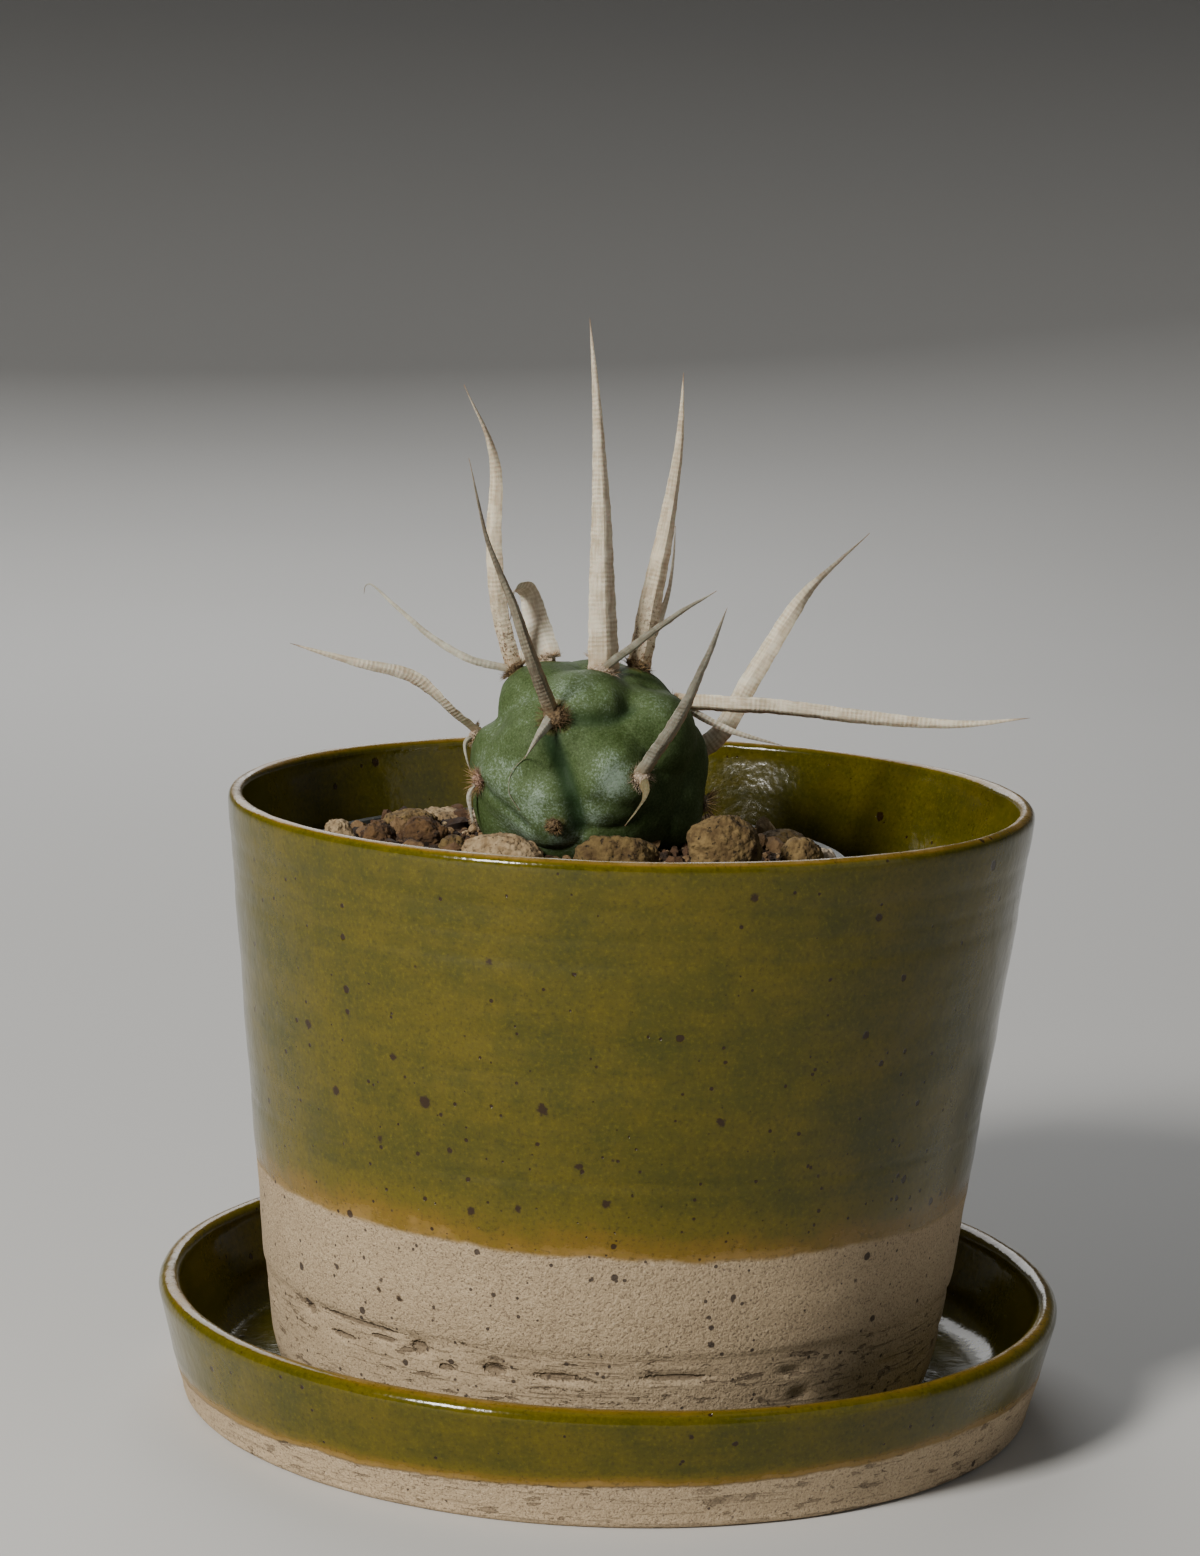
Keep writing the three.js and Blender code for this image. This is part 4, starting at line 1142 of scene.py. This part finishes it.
def paper_fibres():
    """Dry plant paper: fibres that run along the blade and fine ridges across it, its UV in millimetres."""
    outputs = {"Fibre": "Float", "Ridge": "Float", "Height": "Float"}
    tree, (blade,) = shared("paper fibres", {"Blade": "Vector"}, outputs)
    fibre = cloudy(stretched(blade, (7.0, 0.25, 1.0)), 1000, 4.0, 0.65)
    stain = cloudy(stretched(blade, (0.8, 0.35, 1.0)), 1000, 4.0, 0.6)
    shaky = cloudy(stretched(blade, (0.9, 0.5, 1.0)), 1000, 3.0, 0.6)
    patches = cloudy(stretched(blade, (0.5, 0.22, 1.0)), 1000, 2.0)
    _, along, _ = sides(blade)
    ridge = calc("SINE", along * 9.6 + shaky * 6.0, 0) * span(patches, 0.35, 0.6, 0.15, 1.0)
    tone = fibre * 0.45 + stain * 0.55
    return give(tree, {"Fibre": tone, "Ridge": ridge, "Height": ridge * 0.018 + fibre * 0.07})


PAPER = paper_fibres()


def paper_material(name, light, dark, speckling, ridge_banding_and_shade):
    """Papery spine: fibrous, brown at the point, warmer at the root, speckled or gilt where it is so."""
    dry = {"Roughness": 0.7, "Subsurface Weight": 0.08, "Subsurface Scale": 0.5 * MM}
    made, shader, place = material("paper_" + name, dry)
    along, gilt = painted(shader, "along"), painted(shader, "gilt")
    blade = node(made.node_tree, "UVMap", {}, uv_map="UVMap")["UV"]
    paper = grouped(made.node_tree, PAPER, {"Blade": blade})
    # The cross ridges are lighter on their crests and darker in their hollows: partly banding in the paper,
    # partly painted shade.
    colour = mixed(span(paper["Ridge"] * ridge_banding_and_shade + paper["Fibre"], 0.36, 0.62), dark, light)
    flecks = span(cloudy(place, 0.5, 3.0, 0.7), 0.51, 0.62) * span(along, 0.34, 0.05, 0.0, speckling)
    colour = mixed(flecks, colour, (0.1, 0.055, 0.03))
    colour = mixed(span(along, 0.12, 0.0, 0.0, 0.45), colour, (0.34, 0.22, 0.1))
    colour = mixed(gilt * paper["Fibre"], colour, (0.36, 0.2, 0.03))
    colour = mixed(span(along, 0.93, 1.0, 0.0, 0.85), colour, (0.2, 0.11, 0.05))
    surface(shader, colour, paper["Height"])
    return made


papers = {name: paper_material(name, *look) for name, look in PAPER_COLOURS.items()}


def smooth_route(points):
    """A centripetal Catmull-Rom curve through points, as a function of the share of its length."""
    route = [2 * points[0] - points[1], *points, 2 * points[-1] - points[-2]]
    samples = []
    for p0, p1, p2, p3 in zip(route, route[1:], route[2:], route[3:]):
        t1 = (p1 - p0).length ** 0.5
        t2 = t1 + (p2 - p1).length ** 0.5
        t3 = t2 + (p3 - p2).length ** 0.5
        for i in range(24):
            t = t1 + (t2 - t1) * i / 24
            a1 = p0.lerp(p1, t / t1)
            a2 = p1.lerp(p2, (t - t1) / (t2 - t1))
            a3 = p2.lerp(p3, (t - t2) / (t3 - t2))
            b1 = a1.lerp(a2, t / t2)
            b2 = a2.lerp(a3, (t - t1) / (t3 - t1))
            samples.append(b1.lerp(b2, (t - t1) / (t2 - t1)))
    samples.append(points[-1])
    lengths = [0.0]
    for start, end in zip(samples, samples[1:]):
        lengths.append(lengths[-1] + (end - start).length)

    def place(share):
        wanted = share * lengths[-1]
        i = min(max(sum(length < wanted for length in lengths) - 1, 0), len(samples) - 2)
        part = (wanted - lengths[i]) / max(lengths[i + 1] - lengths[i], 1e-9)
        return samples[i].lerp(samples[i + 1], part)

    return place, lengths[-1]


def spine_frames(place, turn, twist):
    """Along a spine: its middle, the direction across its flat side and the one out of it, row by row."""
    frames = []
    side = None
    amount, middle = twist
    for row in range(SPINE_ROWS + 1):
        along = row / SPINE_ROWS
        tangent = (place(min(along + 0.01, 1)) - place(max(along - 0.01, 0))).normalized()
        side = side - tangent * side.dot(tangent) if side else tangent.cross(Vector((0, -1, 0)))
        side.normalize()
        share = min(max((along - middle + TWIST_REACH) / (2 * TWIST_REACH), 0), 1)
        turned_side = side.copy()
        turned_side.rotate(Quaternion(tangent, math.radians(turn + amount * share * share * (3 - 2 * share))))
        frames.append((place(along), turned_side, turned_side.cross(tangent)))
    return frames


def spine(
    areole, name, via, width, thick, turn, twist, paper, fold_at, slope, gilt, narrowing=SPINE_NARROWING
):
    """One papery spine: a sheet rolled to a closed thin blade, folded, laid along its route and twisted."""
    spot, out = seats[areole]
    place, length = smooth_route([spot + out * 0.1 * AREOLES[areole][2], *(Vector(point) for point in via)])
    frames = spine_frames(place, turn, twist)
    grid = {"x_subdivisions": SPINE_SIDES, "y_subdivisions": SPINE_ROWS, "size": 1}
    blade = added(f"spine_{areole}_{name}", bpy.ops.mesh.primitive_grid_add, **grid)
    crinkle = random.Random(blade.name)
    phases = [crinkle.uniform(0, math.tau) for _ in range(4)]
    along_values, gilt_values = [], []
    for vertex in blade.data.vertices:
        around = (vertex.co.x + 0.5) * math.tau
        along = min(max(vertex.co.y + 0.5, 0), 1)
        far = along * length
        middle, side, normal = frames[round(along * SPINE_ROWS)]
        across = math.cos(around)
        fade = 1 - along**3
        half = max(width * (1 - along**narrowing), SPINE_TIP * (1 - along**8)) / 2 + 0.02
        half = min(half, width / 2)
        thin = max(0.17 * thick * (1 - along), 0.06)
        beyond = max(across - fold_at, 0) if fold_at >= 0 else max(fold_at - across, 0)
        depth = math.sin(around) * thin * (1 - 0.6 * across * across)
        depth -= (slope * beyond + 0.12 * across * across) * half * fade
        depth += 0.07 * math.sin(far * 0.8 + phases[0]) * fade
        depth += 0.05 * math.sin(far * 2.7 + phases[1]) * abs(across) ** 3 * half * fade
        wavy = 1 + 0.025 * math.sin(far * 1.9 + phases[2]) + 0.015 * math.sin(far * 5 + phases[3])
        vertex.co = (middle + side * across * half * wavy + normal * depth) * MM
        along_values.append(along)
        gilt_values.append(gilt * min(max((across - 0.35) * 2.4, 0), 1) * max(1 - 1.3 * along, 0))
    paint(blade, "along", along_values)
    paint(blade, "gilt", gilt_values)
    for corner in blade.data.uv_layers["UVMap"].data:
        corner.uv = (corner.uv.x * width, corner.uv.y * length)
    pick(blade)
    bpy.ops.object.mode_set(mode="EDIT")
    weld(0.004)
    bpy.ops.mesh.select_all(action="SELECT")
    bpy.ops.mesh.fill_holes(sides=0)
    bpy.ops.mesh.select_all(action="SELECT")
    bpy.ops.mesh.normals_make_consistent(inside=False)
    bpy.ops.object.mode_set(mode="OBJECT")
    smooth(blade, 26)
    blade.data.materials.append(papers[paper])
    return blade


for settings in SPINES:
    blade = spine(*settings)
    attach(blade, "root")

# The floor, the light and the camera: a plain pale floor that rises far out to a darker wall, under a soft
# studio light from the upper left, seen from the photographed side, a little above the rim.
CAMERA_PLACE = Vector((0, -0.56135, 0.18155))
CAMERA_YAW = -0.0069
CAMERA_PITCH = -0.162
CAMERA_ROLL = 0.0358
CAMERA_LENS = 92.133
COVE_RADIUS = 1900
COVE_BEND = 1100


def area_light(name, place, target, size, power, colour):
    """A square soft light at a place, turned to a target."""
    lamp = added(name, bpy.ops.object.light_add, type="AREA", location=place)
    lamp.data.size = size
    lamp.data.energy = power
    lamp.data.color = colour
    lamp.rotation_euler = (Vector(target) - Vector(place)).to_track_quat("-Z", "Y").to_euler()


cove = bend(COVE_RADIUS - COVE_BEND, COVE_BEND, COVE_BEND, -90, 0, 16)
flat = [(0, 0), (COVE_RADIUS - COVE_BEND, 0)]
floor = turned("pale_floor", [*flat, *cove, (COVE_RADIUS, 2 * COVE_RADIUS)], 64)
smooth(floor)
made, shader, place = material("pale_floor", {"Roughness": 0.85})
pale = mixed(cloudy(place, 400, 2.0), (0.56, 0.555, 0.54), (0.6, 0.595, 0.58))
_, _, height = sides(place)
surface(shader, mixed(span(height, 0.0, 0.35), pale, (0.17, 0.168, 0.162)))
floor.data.materials.append(made)

area_light("key_light", (-0.59, -0.68, 0.58), (0, 0, 0.07), 0.22, 15, (1, 0.97, 0.92))
area_light("fill_light", (0.9, -0.5, 0.5), (0, 0, 0.07), 0.9, 1, (0.93, 0.97, 1))
area_light("back_light", (-0.2, 0.85, 0.6), (0, 0, 0.09), 0.7, 4.5, (1, 1, 1))
sky = bpy.data.worlds.new("studio")
sky.use_nodes = True
sky.node_tree.nodes["Background"].inputs["Color"].default_value = (0.8, 0.82, 0.85, 1)
sky.node_tree.nodes["Background"].inputs["Strength"].default_value = 0.32
bpy.context.scene.world = sky

level = math.cos(CAMERA_PITCH)
forward = Vector((math.sin(CAMERA_YAW) * level, math.cos(CAMERA_YAW) * level, math.sin(CAMERA_PITCH)))
right = forward.cross(Vector((0, 0, 1))).normalized()
up = right.cross(forward)
roll = Quaternion(forward, -CAMERA_ROLL)
right.rotate(roll)
up.rotate(roll)
camera = added("Camera", bpy.ops.object.camera_add, location=CAMERA_PLACE)
camera.data.lens = CAMERA_LENS
camera.rotation_euler = Matrix((right, up, -forward)).transposed().to_euler()
camera.data.clip_start = 0.01
bpy.context.scene.camera = camera
